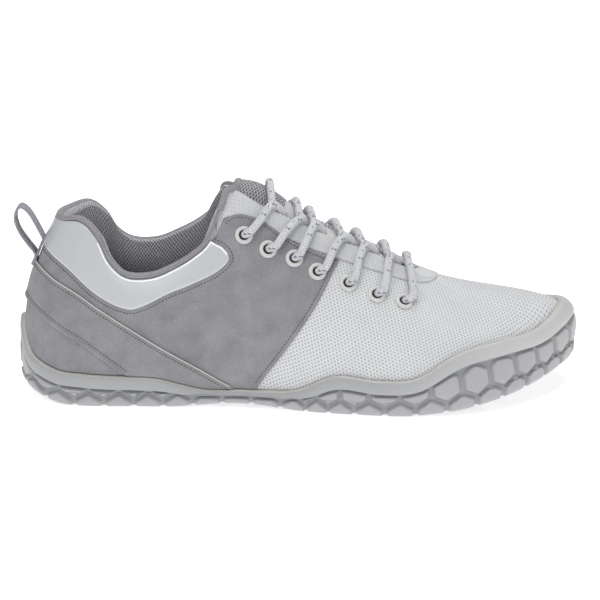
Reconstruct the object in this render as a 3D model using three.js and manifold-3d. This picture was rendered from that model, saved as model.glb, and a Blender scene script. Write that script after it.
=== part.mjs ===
// A low barefoot shoe for the right foot, standing empty on its sole.
// A thin textile upper is closed underneath by a moulded rubber sole whose rim wraps the heel and toe.
// Millimetres, +Z up, +X towards the toe, the little-toe side at -Y. The origin is the centre of the footprint.
import * as THREE from 'three';
import { mergeVertices } from 'three/addons/utils/BufferGeometryUtils.js';
import Module from 'manifold-3d';

const wasm = await Module();
wasm.setup();

// Driving sizes of the last and the sole
const LAST_LENGTH = 277;
const BALL_WIDTH = 97;
const HEEL_HEIGHT = 83.5;
const INSTEP_HEIGHT = 97;
const SOLE_THICKNESS = 7.5;
const TOE_SPRING = 14.5;
const HEEL_ROUNDING = 8;
const HEEL_CUP = 5;
const ARCH_LIFT = 2.5;
const RAND_HEIGHT = 32;
const RAND_FOOT = 3.8;
const RAND_LIP = 2.3;
const LUG_DEPTH = 2.8;
const LUG_PITCH = 14.9;
const LUG_GROOVE = 2.6;
const UNDER_PITCH = 18;
const SIDE_RELIEF = 1.1;

// Walls and clearances
const WALL = 2;
const CLEAR = 0.3;
const PANEL = 1.1;
const STRAP = 1.5;
const PATCH = 1.3;
const COLLAR_PAD = 5.5;
const INSOLE = 3;
const TONGUE_PAD = 4.2;
const EYELET_RADIUS = 4.6;
const EYELET_HOLE = 2.6;
const EYELET_FLANGE = 1;
const EYELET_DEPTH = 19;
const LACE = 4;
const LOOP_WIDTH = 10;
const LOOP_WEB = 1.4;

// One row for each section of the last, from the heel back round to the toe tip.
// along, slant and rimAlong are shares of the length; outer, inner, rimOuter, rimInner, lift, belly and shoulder
// of the ball width; heel and instep add up to the rim's height; rise and drop are shares of that height.
// The upper starts upright from the sole with its belly and meets the rim from its shoulder.
const SECTIONS = [
  { along: 0, outer: 0, inner: 0, slant: 0, rimAlong: 0.065, rimOuter: 0, rimInner: 0,
    heel: 1, instep: 0, lift: 0, belly: 0.041, rise: 0.38, shoulder: 0.12, drop: 0.25, rand: 1 },
  { along: 0.018, outer: 0.186, inner: 0.186, slant: 0, rimAlong: 0.078, rimOuter: 0.124, rimInner: 0.124,
    heel: 1.005, instep: 0, lift: 0, belly: 0.041, rise: 0.38, shoulder: 0.1, drop: 0.25, rand: 0.42 },
  { along: 0.061, outer: 0.294, inner: 0.289, slant: 0, rimAlong: 0.112, rimOuter: 0.211, rimInner: 0.211,
    heel: 1.02, instep: 0, lift: 0, belly: 0.046, rise: 0.35, shoulder: 0.062, drop: 0.26, rand: 0.31 },
  { along: 0.108, outer: 0.33, inner: 0.32, slant: 0, rimAlong: 0.141, rimOuter: 0.263, rimInner: 0.258,
    heel: 0.93, instep: 0, lift: 0.01, belly: 0.052, rise: 0.36, shoulder: 0.031, drop: 0.28, rand: 0.29 },
  { along: 0.152, outer: 0.34, inner: 0.33, slant: 0, rimAlong: 0.161, rimOuter: 0.294, rimInner: 0.289,
    heel: 0.8, instep: 0, lift: 0.025, belly: 0.052, rise: 0.39, shoulder: 0.015, drop: 0.3, rand: 0.27 },
  { along: 0.199, outer: 0.34, inner: 0.325, slant: 0, rimAlong: 0.191, rimOuter: 0.314, rimInner: 0.304,
    heel: 0.716, instep: 0, lift: 0.04, belly: 0.052, rise: 0.42, shoulder: 0.01, drop: 0.3, rand: 0.26 },
  { along: 0.245, outer: 0.345, inner: 0.314, slant: 0, rimAlong: 0.235, rimOuter: 0.32, rimInner: 0.304,
    heel: 0.715, instep: 0, lift: 0.04, belly: 0.046, rise: 0.42, shoulder: 0.01, drop: 0.3, rand: 0.235 },
  { along: 0.289, outer: 0.35, inner: 0.304, slant: 0, rimAlong: 0.274, rimOuter: 0.314, rimInner: 0.299,
    heel: 0.766, instep: 0, lift: 0.04, belly: 0.041, rise: 0.41, shoulder: 0.015, drop: 0.31, rand: 0.14 },
  { along: 0.329, outer: 0.356, inner: 0.299, slant: 0, rimAlong: 0.309, rimOuter: 0.299, rimInner: 0.289,
    heel: 0.835, instep: 0, lift: 0.035, belly: 0.041, rise: 0.4, shoulder: 0.02, drop: 0.31, rand: 0.065 },
  { along: 0.365, outer: 0.366, inner: 0.294, slant: 0, rimAlong: 0.336, rimOuter: 0.273, rimInner: 0.268,
    heel: 0.92, instep: 0, lift: 0.03, belly: 0.041, rise: 0.39, shoulder: 0.03, drop: 0.31, rand: 0.065 },
  { along: 0.401, outer: 0.376, inner: 0.294, slant: 0, rimAlong: 0.357, rimOuter: 0.211, rimInner: 0.211,
    heel: 0, instep: 0.945, lift: 0.03, belly: 0.036, rise: 0.35, shoulder: 0.082, drop: 0.3, rand: 0.065 },
  { along: 0.44, outer: 0.392, inner: 0.299, slant: 0, rimAlong: 0.375, rimOuter: 0.175, rimInner: 0.195,
    heel: 0, instep: 1, lift: 0.025, belly: 0.036, rise: 0.35, shoulder: 0.124, drop: 0.27, rand: 0.065 },
  { along: 0.498, outer: 0.423, inner: 0.32, slant: 0, rimAlong: 0.444, rimOuter: 0.165, rimInner: 0.145,
    heel: 0, instep: 0.925, lift: 0.01, belly: 0.036, rise: 0.38, shoulder: 0.144, drop: 0.25, rand: 0.11 },
  { along: 0.57, outer: 0.469, inner: 0.366, slant: 0, rimAlong: 0.52, rimOuter: 0.16, rimInner: 0.125,
    heel: 0, instep: 0.82, lift: 0, belly: 0.041, rise: 0.41, shoulder: 0.155, drop: 0.22, rand: 0.37 },
  { along: 0.65, outer: 0.505, inner: 0.423, slant: 0.004, rimAlong: 0.585, rimOuter: 0.155, rimInner: 0.115,
    heel: 0, instep: 0.742, lift: -0.005, belly: 0.041, rise: 0.435, shoulder: 0.16, drop: 0.21, rand: 0.32 },
  { along: 0.729, outer: 0.52, inner: 0.464, slant: 0.014, rimAlong: 0.639, rimOuter: 0.145, rimInner: 0.105,
    heel: 0, instep: 0.678, lift: -0.005, belly: 0.041, rise: 0.45, shoulder: 0.175, drop: 0.21, rand: 0.36 },
  { along: 0.82, outer: 0.49, inner: 0.479, slant: 0.025, rimAlong: 0.682, rimOuter: 0.11, rimInner: 0.09,
    heel: 0, instep: 0.615, lift: 0, belly: 0.044, rise: 0.47, shoulder: 0.24, drop: 0.28, rand: 0.64 },
  { along: 0.906, outer: 0.371, inner: 0.423, slant: 0.032, rimAlong: 0.708, rimOuter: 0.055, rimInner: 0.065,
    heel: 0, instep: 0.578, lift: 0, belly: 0.052, rise: 0.5, shoulder: 0.37, drop: 0.36, rand: 0.66 },
  { along: 0.967, outer: 0.175, inner: 0.3, slant: 0.025, rimAlong: 0.717, rimOuter: 0.005, rimInner: 0.045,
    heel: 0, instep: 0.566, lift: 0, belly: 0.068, rise: 0.53, shoulder: 0.52, drop: 0.4, rand: 0.62 },
  { along: 0.996, outer: -0.082, inner: 0.082, slant: 0, rimAlong: 0.718, rimOuter: -0.031, rimInner: 0.031,
    heel: 0, instep: 0.562, lift: 0, belly: 0.08, rise: 0.6, shoulder: 0.61, drop: 0.37, rand: 0.78 },
];
const TOE = SECTIONS.length - 1;
const ROUND = 2 * TOE;

// Height of the ground side of the sole at a place along it: rounded heel, lifted arch and toe spring
const HEEL_ROUND_END = 0.094;
const ARCH_START = 0.25;
const ARCH_END = 0.53;
const SPRING_START = 0.67;
const SPRING_POWER = 1.6;

function toeSpring(x) {
  const t = Math.max(0, (x / LAST_LENGTH - SPRING_START) / (1 - SPRING_START));
  return TOE_SPRING * t ** SPRING_POWER;
}
function heelRound(x) {
  return Math.max(0, 1 - x / LAST_LENGTH / HEEL_ROUND_END) ** 2;
}
function groundLine(x) {
  const arch = THREE.MathUtils.clamp((x / LAST_LENGTH - ARCH_START) / (ARCH_END - ARCH_START), 0, 1);
  return HEEL_ROUNDING * heelRound(x) + ARCH_LIFT * Math.sin(Math.PI * arch) ** 2 + toeSpring(x);
}
function floorLine(x) {
  return SOLE_THICKNESS + HEEL_CUP * heelRound(x) + toeSpring(x);
}

// The control points of each section's side curve: foot, belly, shoulder and rim, all round the shoe
function sectionControls() {
  const order = [];
  for (let i = 0; i <= TOE; i++) order.push([SECTIONS[i], -1]);
  for (let i = TOE - 1; i > 0; i--) order.push([SECTIONS[i], 1]);
  const feet = order.map(([row, side]) => {
    const x = LAST_LENGTH * (row.along + side * row.slant);
    const y = side < 0 ? -row.outer * BALL_WIDTH : row.inner * BALL_WIDTH;
    return new THREE.Vector3(x, y, floorLine(x) + CLEAR);
  });
  return order.map(([row, side], i) => {
    const foot = feet[i];
    const next = feet[(i + 1) % feet.length];
    const last = feet[(i + feet.length - 1) % feet.length];
    const out = new THREE.Vector3(next.y - last.y, last.x - next.x, 0).normalize();
    const height = row.heel * HEEL_HEIGHT + row.instep * INSTEP_HEIGHT;
    const rim = new THREE.Vector3(
      LAST_LENGTH * row.rimAlong,
      side < 0 ? -row.rimOuter * BALL_WIDTH : row.rimInner * BALL_WIDTH,
      SOLE_THICKNESS + height + (side > 0 ? row.lift * BALL_WIDTH : 0));
    const belly = foot.clone().addScaledVector(out, row.belly * BALL_WIDTH);
    belly.z += row.rise * height;
    const shoulder = rim.clone().addScaledVector(out, row.shoulder * BALL_WIDTH);
    shoulder.z -= row.drop * height;
    return [foot, belly, shoulder, rim];
  });
}
const CONTROLS = sectionControls();
const RANDS = Array.from({ length: ROUND }, (_, i) => SECTIONS[i <= TOE ? i : ROUND - i].rand * RAND_HEIGHT);

// A smooth closed curve through values placed one section apart
function blend(values, u, read) {
  const count = values.length;
  const i = Math.floor(u);
  const f = u - i;
  const at = (k) => read(values[(((i + k) % count) + count) % count]);
  const [a, b, c, d] = [at(-1), at(0), at(1), at(2)];
  return 0.5 * (2 * b + (c - a) * f + (2 * a - 5 * b + 4 * c - d) * f * f + (3 * b - a - 3 * c + d) * f ** 3);
}

// A point of the last at section u (0 heel, TOE toe tip, negative on the big-toe side) and height share h
function lastPoint(u, h) {
  const g = 1 - h;
  const weights = [g ** 3, 3 * g * g * h, 3 * g * h * h, h ** 3];
  const point = new THREE.Vector3();
  for (const axis of ['x', 'y', 'z'])
    weights.forEach((w, k) => { point[axis] += w * blend(CONTROLS, u, (row) => row[k][axis]); });
  return point;
}

// The same point moved out of the surface by a distance
function surface(u, h, out = 0) {
  if (out === 0) return lastPoint(u, h);
  const du = 0.02;
  const dh = 0.01;
  const along = lastPoint(u + du, h).sub(lastPoint(u - du, h));
  const up = lastPoint(u, h + dh).sub(lastPoint(u, h - dh));
  const normal = along.cross(up).normalize();
  return lastPoint(u, h).addScaledVector(normal, out);
}

// The level direction out of the shoe at the foot of a section
function outOf(u) {
  const next = lastPoint(u + 0.05, 0);
  const last = lastPoint(u - 0.05, 0);
  return new THREE.Vector3(next.y - last.y, last.x - next.x, 0).normalize();
}

// Height share of the point that lies a length up the side curve, or down it from the rim
const CURVE_STEPS = 60;
function upFromFoot(u, length) {
  let last = lastPoint(u, 0);
  let gone = 0;
  for (let k = 1; k <= CURVE_STEPS; k++) {
    const next = lastPoint(u, k / CURVE_STEPS);
    const step = next.distanceTo(last);
    if (gone + step >= length) return (k - 1 + (length - gone) / step) / CURVE_STEPS;
    gone += step;
    last = next;
  }
  return 1;
}
function downFromRim(u, length) {
  let last = lastPoint(u, 1);
  let gone = 0;
  for (let k = CURVE_STEPS - 1; k >= 0; k--) {
    const next = lastPoint(u, k / CURVE_STEPS);
    const step = next.distanceTo(last);
    if (gone + step >= length) return (k + 1 - (length - gone) / step) / CURVE_STEPS;
    gone += step;
    last = next;
  }
  return 0;
}

// A closed solid from rings of points: quads between neighbouring rings, and flat strips on the two end rings
function solidFromRings(rings, { loop = false, ringClosed = true } = {}) {
  const size = rings[0].length;
  const faces = [];
  const at = (i, j) => (i % rings.length) * size + (j % size);
  const points = rings.flat();
  const quad = (a, b, c, d) => {
    if (points[a].distanceToSquared(points[c]) <= points[b].distanceToSquared(points[d])) faces.push(a, b, c, a, c, d);
    else faces.push(a, b, d, b, c, d);
  };
  for (let i = 0; i < (loop ? rings.length : rings.length - 1); i++)
    for (let j = 0; j < (ringClosed ? size : size - 1); j++)
      quad(at(i, j), at(i + 1, j), at(i + 1, j + 1), at(i, j + 1));
  if (!loop)
    for (let j = 0; j < size / 2 - 1; j++) {
      quad(at(0, j), at(0, j + 1), at(0, size - 2 - j), at(0, size - 1 - j));
      const end = rings.length - 1;
      quad(at(end, j), at(end, size - 1 - j), at(end, size - 2 - j), at(end, j + 1));
    }
  const raw = new THREE.BufferGeometry();
  raw.setAttribute('position', new THREE.Float32BufferAttribute(points.flatMap((p) => p.toArray()), 3));
  raw.setIndex(faces);
  return outward(raw);
}

// Shared vertices merged, collapsed faces dropped and the faces turned to point out
function outward(raw) {
  raw.deleteAttribute('normal');
  raw.deleteAttribute('uv');
  const merged = mergeVertices(raw, 1e-3);
  const p = merged.attributes.position;
  const [a, b, c] = [new THREE.Vector3(), new THREE.Vector3(), new THREE.Vector3()];
  let volume = 0;
  const kept = [];
  for (let i = 0; i < merged.index.count; i += 3) {
    const [x, y, z] = [0, 1, 2].map((k) => merged.index.getX(i + k));
    if (x === y || y === z || z === x) continue;
    kept.push([x, y, z]);
    a.fromBufferAttribute(p, x);
    b.fromBufferAttribute(p, y);
    c.fromBufferAttribute(p, z);
    volume += a.dot(b.cross(c));
  }
  merged.setIndex(kept.flatMap(([x, y, z]) => (volume < 0 ? [x, z, y] : [x, y, z])));
  return merged;
}

// Between three.js geometry and manifold-3d solids
function toSolid(geometry) {
  const merged = geometry.index && !geometry.attributes.uv ? geometry : outward(geometry.clone());
  return new wasm.Manifold(new wasm.Mesh({
    numProp: 3,
    vertProperties: new Float32Array(merged.attributes.position.array),
    triVerts: new Uint32Array(merged.index.array),
  }));
}
function fromSolid(solid) {
  const mesh = solid.getMesh();
  const geometry = new THREE.BufferGeometry();
  geometry.setAttribute('position', new THREE.BufferAttribute(new Float32Array(mesh.vertProperties), 3));
  geometry.setIndex(new THREE.BufferAttribute(new Uint32Array(mesh.triVerts), 1));
  return geometry;
}

// Section numbers of the rings from one section to another, closer together round heel and toe
const FINE_HEEL = 4;
const FINE_TOE = 15;
const END_MARGIN = 0.05;
function ringStops(from, to) {
  const stops = [];
  const low = Math.ceil(Math.min(from, to));
  const high = Math.floor(Math.max(from, to));
  const fine = (k) => Math.abs(k) < FINE_HEEL || Math.abs(k) >= FINE_TOE;
  for (let k = low; k <= high; k++) {
    stops.push(k);
    if (k < high && fine(Math.min(Math.abs(k), Math.abs(k + 1)))) stops.push(k + 0.5);
  }
  if (low - from > END_MARGIN) stops.unshift(from);
  if (to - high > END_MARGIN) stops.push(to);
  return stops;
}
const ALL_ROUND = ringStops(-TOE, TOE).slice(0, -1);

// Upper: the thin textile shell, one wall all round, open at the collar, the throat and underneath
const HEIGHTS = [0, 0.08, 0.16, 0.26, 0.38, 0.52, 0.68, 0.84, 1];
function makeUpper() {
  const rings = ALL_ROUND.map((u) => [
    ...HEIGHTS.map((h) => surface(u, h)),
    ...HEIGHTS.map((h) => surface(u, h, -WALL)).reverse(),
  ]);
  return solidFromRings(rings, { loop: true });
}

// Rand height round the shoe as a height share of the section
const randTop = (u) => upFromFoot(u, blend(RANDS, u, (v) => v));

// Sole: the bottom plate, the wall that wraps the upper's foot, and the lugs underneath and round its side
const EDGE_HEIGHT = 3.6;
const EDGE_TUCK = 2.8;
const RIDGE_SHARE = 0.3;
const RAND_STOPS = 5;
function soleBody(lift, inset) {
  const rings = ALL_ROUND.map((u) => {
    const foot = lastPoint(u, 0);
    const out = outOf(u);
    const spine = foot.clone().add(lastPoint(-u, 0)).multiplyScalar(0.5);
    const top = randTop(u);
    const side = RAND_FOOT - inset;
    const edge = foot.clone().addScaledVector(out, side - EDGE_TUCK);
    edge.z = groundLine(edge.x) + lift;
    const ridge = foot.clone().addScaledVector(out, side);
    ridge.z = Math.min(groundLine(ridge.x) + EDGE_HEIGHT, foot.z - CLEAR) + lift * RIDGE_SHARE;
    const low = spine.clone();
    low.z = groundLine(spine.x) + lift;
    const floor = spine.clone();
    floor.z = floorLine(spine.x);
    const corner = surface(u, 0, CLEAR);
    corner.z = floorLine(foot.x);
    const stops = HEIGHTS.slice(1, RAND_STOPS).map((h) => Math.min(h, top));
    const taper = (h) => RAND_LIP + (side - RAND_LIP) * (1 - h / top);
    return [
      low, edge, ridge,
      ...stops.map((h) => surface(u, h, CLEAR + taper(h))),
      ...stops.map((h) => surface(u, h, CLEAR)).reverse(),
      corner, floor,
    ];
  });
  return toSolid(solidFromRings(rings, { loop: true, ringClosed: false }));
}

function hexPrism(radius, length) {
  const shape = new THREE.Shape();
  for (let k = 0; k < 6; k++) {
    const a = (k * Math.PI) / 3 + Math.PI / 6;
    if (k === 0) shape.moveTo(radius * Math.cos(a), radius * Math.sin(a));
    else shape.lineTo(radius * Math.cos(a), radius * Math.sin(a));
  }
  return new THREE.ExtrudeGeometry(shape, { depth: length, bevelEnabled: false });
}

// Under lugs reach UNDER_INTO into the body and keep a share of their radius inside the outline
const UNDER_INTO = 0.5;
const UNDER_MARGIN = 0.8;
const SOLE_TOLERANCE = 0.2;
function makeSole() {
  const plain = soleBody(LUG_DEPTH, SIDE_RELIEF);
  const radius = (UNDER_PITCH - LUG_GROOVE) / Math.sqrt(3);
  const reach = LUG_DEPTH + 1;
  const prisms = [];
  const rowStep = (UNDER_PITCH * Math.sqrt(3)) / 2;
  const rows = Math.ceil(BALL_WIDTH / 2 / rowStep);
  const columns = Math.ceil(LAST_LENGTH / UNDER_PITCH);
  for (let r = -rows; r <= rows; r++)
    for (let c = 0; c <= columns; c++) {
      const x = (c + (r & 1 ? 0.5 : 0)) * UNDER_PITCH;
      const y = r * rowStep;
      if (!underFoot(x, y, radius * UNDER_MARGIN)) continue;
      const prism = hexPrism(radius, reach);
      prism.translate(x, y, 0);
      const corners = prism.attributes.position;
      for (let k = 0; k < corners.count; k++)
        corners.setZ(k, corners.getZ(k) + groundLine(corners.getX(k)));
      prisms.push(toSolid(prism));
    }
  const under = soleBody(-UNDER_INTO, 0).intersect(wasm.Manifold.union(prisms));
  const side = soleBody(0, 0).intersect(wasm.Manifold.union(sideLugs((LUG_PITCH - LUG_GROOVE) / Math.sqrt(3))));
  const sole = plain.add(under).add(side).asOriginal().simplify(SOLE_TOLERANCE);
  return fromSolid(largest(sole));
}

// Whether a lug's centre lies inside the outline of the sole by a margin
function underFoot(x, y, margin) {
  const outline = [];
  for (let u = -TOE; u < TOE; u += 0.5) {
    const p = lastPoint(u, 0);
    outline.push([p.x, p.y]);
  }
  let inside = false;
  let nearest = Infinity;
  outline.forEach(([x0, y0], k) => {
    const [x1, y1] = outline[(k + 1) % outline.length];
    if (y0 > y !== y1 > y && x < x0 + ((x1 - x0) * (y - y0)) / (y1 - y0)) inside = !inside;
    nearest = Math.min(nearest, Math.hypot(x - x0, y - y0));
  });
  return inside && nearest > margin;
}

// Place in the lug pattern of a length along the outline from the heel. A groove lies at the heel and a lug's edge at
// the toe, and the pattern steps ahead by nearly half a pitch at the arch.
const LUG_START = LUG_PITCH / 2;
const LUG_STEP = 7.3;
const LUG_STEP_FROM = 150;
const LUG_STEP_TO = 185;
const LUGS_PER_SIDE = 22.5;
// A side lug's centre: a share of the pitch above the ground line, and a share of the rand's height at the toe
const LUG_RISE = 0.36;
const LUG_ON_RAND = 0.45;
const OUTLINE_STEP = 0.05;
function lugPlace(length, half) {
  const stretch = half + LUG_START + LUG_STEP - LUGS_PER_SIDE * LUG_PITCH;
  return length + LUG_START
    + LUG_STEP * THREE.MathUtils.smoothstep(length, LUG_STEP_FROM, LUG_STEP_TO)
    - stretch * THREE.MathUtils.clamp((length - LUG_STEP_TO) / (half - LUG_STEP_TO), 0, 1);
}

// Lugs on the side wall, one hexagon a pitch apart from the heel round both sides
function sideLugs(radius) {
  const lugs = [];
  for (const side of [-1, 1]) {
    const count = TOE / OUTLINE_STEP + 1;
    const feet = Array.from({ length: count }, (_, k) => lastPoint(side * k * OUTLINE_STEP, 0));
    const lengths = [0];
    for (let k = 1; k < feet.length; k++) lengths.push(lengths[k - 1] + feet[k].distanceTo(feet[k - 1]));
    const half = lengths[lengths.length - 1];
    let reached = 0;
    feet.forEach((foot, k) => {
      const passed = Math.floor(lugPlace(lengths[k], half) / LUG_PITCH);
      if (passed === reached || k === 0) return;
      reached = passed;
      const u = side * k * OUTLINE_STEP;
      const out = outOf(u);
      const prism = hexPrism(radius, RAND_FOOT * 2);
      prism.rotateX(Math.PI / 2);
      prism.rotateZ(Math.atan2(-out.x, out.y) + Math.PI);
      const rand = blend(RANDS, u, (v) => v);
      const high = Math.max(groundLine(foot.x) + LUG_PITCH * LUG_RISE, rand * LUG_ON_RAND + toeSpring(foot.x));
      prism.translate(foot.x + out.x, foot.y + out.y, high);
      lugs.push(toSolid(prism));
    });
  }
  return lugs;
}

function largest(solid) {
  const bodies = solid.decompose();
  return bodies.reduce((best, body) => (body.volume() > best.volume() ? body : best));
}

// Insole: a loose foam footbed that lies in the upper on the sole
const INSOLE_INSET = WALL + 1.2;
function makeInsole() {
  const inset = (u) => lastPoint(u, 0).addScaledVector(outOf(u), -INSOLE_INSET);
  const place = (p, up) => new THREE.Vector3(p.x, p.y, floorLine(p.x) + CLEAR + up);
  const rings = ALL_ROUND.map((u) => {
    const edge = inset(u);
    const spine = edge.clone().add(inset(-u)).multiplyScalar(0.5);
    return [place(spine, 0), place(edge, 0), place(edge, INSOLE), place(spine, INSOLE)];
  });
  return solidFromRings(rings, { loop: true, ringClosed: false });
}

// Tongue: a padded strip from under the vamp to above the collar, arched across, its wings inside the upper.
// along and crown are shares of the length and the instep height; half and fall of the ball width.
const TONGUE = [
  { along: 0.722, crown: 0.490, half: 0.190, fall: 0.13, pad: 0.45, back: 0.000 },
  { along: 0.690, crown: 0.570, half: 0.200, fall: 0.20, pad: 0.55, back: 0.000 },
  { along: 0.630, crown: 0.677, half: 0.205, fall: 0.24, pad: 0.70, back: 0.005 },
  { along: 0.575, crown: 0.752, half: 0.205, fall: 0.27, pad: 0.85, back: 0.010 },
  { along: 0.535, crown: 0.810, half: 0.195, fall: 0.30, pad: 0.95, back: 0.020 },
  { along: 0.497, crown: 0.888, half: 0.185, fall: 0.32, pad: 1.00, back: 0.030 },
  { along: 0.460, crown: 0.975, half: 0.170, fall: 0.32, pad: 1.00, back: 0.035 },
  { along: 0.425, crown: 1.030, half: 0.160, fall: 0.33, pad: 1.00, back: 0.040 },
  { along: 0.390, crown: 1.050, half: 0.145, fall: 0.33, pad: 0.80, back: 0.040 },
];
const TONGUE_STEPS = 8;
const TONGUE_WRAP = 1.35;
function tonguePoint(row, share, down) {
  const a = share * TONGUE_WRAP;
  const half = row.half * BALL_WIDTH - down;
  const fall = row.fall * BALL_WIDTH - down;
  return new THREE.Vector3(
    row.along * LAST_LENGTH - row.back * LAST_LENGTH * share * share,
    half * Math.sin(a),
    SOLE_THICKNESS + row.crown * INSTEP_HEIGHT - down - fall * (1 - Math.cos(a)));
}
function makeTongue() {
  const rings = TONGUE.map((row) => {
    const top = [];
    const under = [];
    for (let j = 0; j <= TONGUE_STEPS; j++) {
      const share = (2 * j) / TONGUE_STEPS - 1;
      top.push(tonguePoint(row, share, 0));
      under.unshift(tonguePoint(row, share, TONGUE_PAD * row.pad));
    }
    return [...top, ...under];
  });
  return solidFromRings(rings);
}

// Height of the tongue's top face over a place
function tongueTop(x, y) {
  const share = THREE.MathUtils.clamp(x / LAST_LENGTH, TONGUE[TONGUE.length - 1].along, TONGUE[0].along);
  const k = Math.max(1, TONGUE.findIndex((row) => row.along <= share));
  const [a, b] = [TONGUE[k - 1], TONGUE[k]];
  const f = (share - a.along) / (b.along - a.along);
  const mix = (column) => a[column] + (b[column] - a[column]) * f;
  const across = Math.min(1, Math.abs(y) / (mix('half') * BALL_WIDTH));
  return SOLE_THICKNESS + mix('crown') * INSTEP_HEIGHT - mix('fall') * BALL_WIDTH * (1 - Math.sqrt(1 - across ** 2));
}

// Collar padding: the padded lining inside the collar, rolled over inwards at its top
const PAD_FROM = 5;
const PAD_END = 10;
const PAD_TAPER = 3;
const PAD_LEAST = 0.3;
const PAD_FOOT = 1.2;
function makePadding() {
  const heights = HEIGHTS.slice(PAD_FROM);
  const outer = -(WALL + CLEAR);
  const rings = ringStops(-PAD_END, PAD_END).map((u) => {
    const taper = THREE.MathUtils.clamp((PAD_END - Math.abs(u)) / PAD_TAPER, 0, 1);
    const pad = COLLAR_PAD * (PAD_LEAST + (1 - PAD_LEAST) * taper);
    const roll = pad / 2;
    const rim = surface(u, 1, outer - roll);
    const up = surface(u, 1, outer - roll).sub(surface(u, 0.98, outer - roll)).normalize();
    const across = surface(u, 1, 1).sub(surface(u, 1)).normalize();
    const arc = [0.25, 0.5, 0.75].map((t) => rim.clone()
      .addScaledVector(across, roll * Math.cos(t * Math.PI))
      .addScaledVector(up, roll * Math.sin(t * Math.PI)));
    const depth = (k) => (k === 0 ? Math.min(PAD_FOOT, pad) : pad);
    const inner = heights.map((h, k) => surface(u, h, outer - depth(k))).reverse();
    const points = [...heights.map((h) => surface(u, h, outer)), ...arc, ...inner];
    return [...points, points[points.length - 1].clone()];
  });
  return solidFromRings(rings);
}

// Side view outlines of the overlays: along as a share of the length, height of the instep height above the ground
const STRAP_TOP = [
  { along: -0.050, height: 0.720 },
  { along: 0.027, height: 0.690 },
  { along: 0.063, height: 0.640 },
  { along: 0.100, height: 0.588 },
  { along: 0.148, height: 0.496 },
  { along: 0.203, height: 0.399 },
  { along: 0.258, height: 0.304 },
  { along: 0.319, height: 0.208 },
  { along: 0.358, height: 0.145 },
  { along: 0.389, height: 0.097 },
  { along: 0.430, height: 0.020 },
];
const STRAP_FOOT = [
  { along: -0.050, height: 0.520 },
  { along: 0.008, height: 0.506 },
  { along: 0.026, height: 0.480 },
  { along: 0.064, height: 0.411 },
  { along: 0.100, height: 0.353 },
  { along: 0.134, height: 0.286 },
  { along: 0.168, height: 0.213 },
  { along: 0.186, height: 0.171 },
  { along: 0.230, height: 0.060 },
];
const PATCH_EDGE = [
  { along: -0.050, height: 0.800 },
  { along: 0.038, height: 0.778 },
  { along: 0.062, height: 0.750 },
  { along: 0.093, height: 0.691 },
  { along: 0.121, height: 0.619 },
  { along: 0.155, height: 0.552 },
  { along: 0.183, height: 0.520 },
  { along: 0.203, height: 0.515 },
  { along: 0.231, height: 0.545 },
  { along: 0.265, height: 0.595 },
  { along: 0.307, height: 0.642 },
  { along: 0.348, height: 0.695 },
  { along: 0.372, height: 0.749 },
  { along: 0.375, height: 0.788 },
  { along: 0.365, height: 0.824 },
  { along: 0.345, height: 0.853 },
  { along: 0.325, height: 0.900 },
];
const QUARTER_FRONT = [
  { along: 0.400, height: 0.000 },
  { along: 0.422, height: 0.103 },
  { along: 0.443, height: 0.189 },
  { along: 0.470, height: 0.294 },
  { along: 0.505, height: 0.436 },
  { along: 0.535, height: 0.568 },
  { along: 0.559, height: 0.690 },
  { along: 0.571, height: 0.752 },
  { along: 0.547, height: 0.772 },
  { along: 0.503, height: 0.824 },
  { along: 0.475, height: 0.871 },
  { along: 0.436, height: 0.946 },
  { along: 0.414, height: 0.975 },
  { along: 0.390, height: 0.988 },
  { along: 0.369, height: 0.969 },
  { along: 0.357, height: 0.922 },
  { along: 0.350, height: 0.875 },
  { along: 0.338, height: 0.850 },
];
const SIDE_REACH = 160;

// A cutter with a side view outline, from beyond one side of the shoe to beyond the other
function sideCutter(rows, dx = 0, dz = 0) {
  const shape = new THREE.Shape(rows.map((row) =>
    new THREE.Vector2(row.along * LAST_LENGTH + dx, row.height * INSTEP_HEIGHT + dz)));
  const cutter = new THREE.ExtrudeGeometry(shape, { depth: SIDE_REACH, bevelEnabled: false });
  cutter.rotateX(Math.PI / 2);
  cutter.translate(0, SIDE_REACH / 2, 0);
  return toSolid(cutter);
}
function grownCutter(rows, by) {
  return wasm.Manifold.union([[by, 0], [-by, 0], [0, by], [0, -by]].map(([dx, dz]) => sideCutter(rows, dx, dz)));
}
const BELOW_GROUND = -0.5;
const belowLine = (rows) => [
  ...rows,
  { along: rows[rows.length - 1].along, height: BELOW_GROUND },
  { along: rows[0].along, height: BELOW_GROUND },
];
const STRAP_OUTLINE = [...STRAP_TOP, ...[...STRAP_FOOT].reverse()];
const PATCH_OUTLINE = [...PATCH_EDGE, { along: 0.325, height: 1.3 }, { along: -0.05, height: 1.3 }];
const QUARTER_OUTLINE = [...QUARTER_FRONT, { along: 0.30, height: 1.0 }, { along: -0.05, height: 1.0 },
  { along: -0.05, height: 0.0 }];

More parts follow.
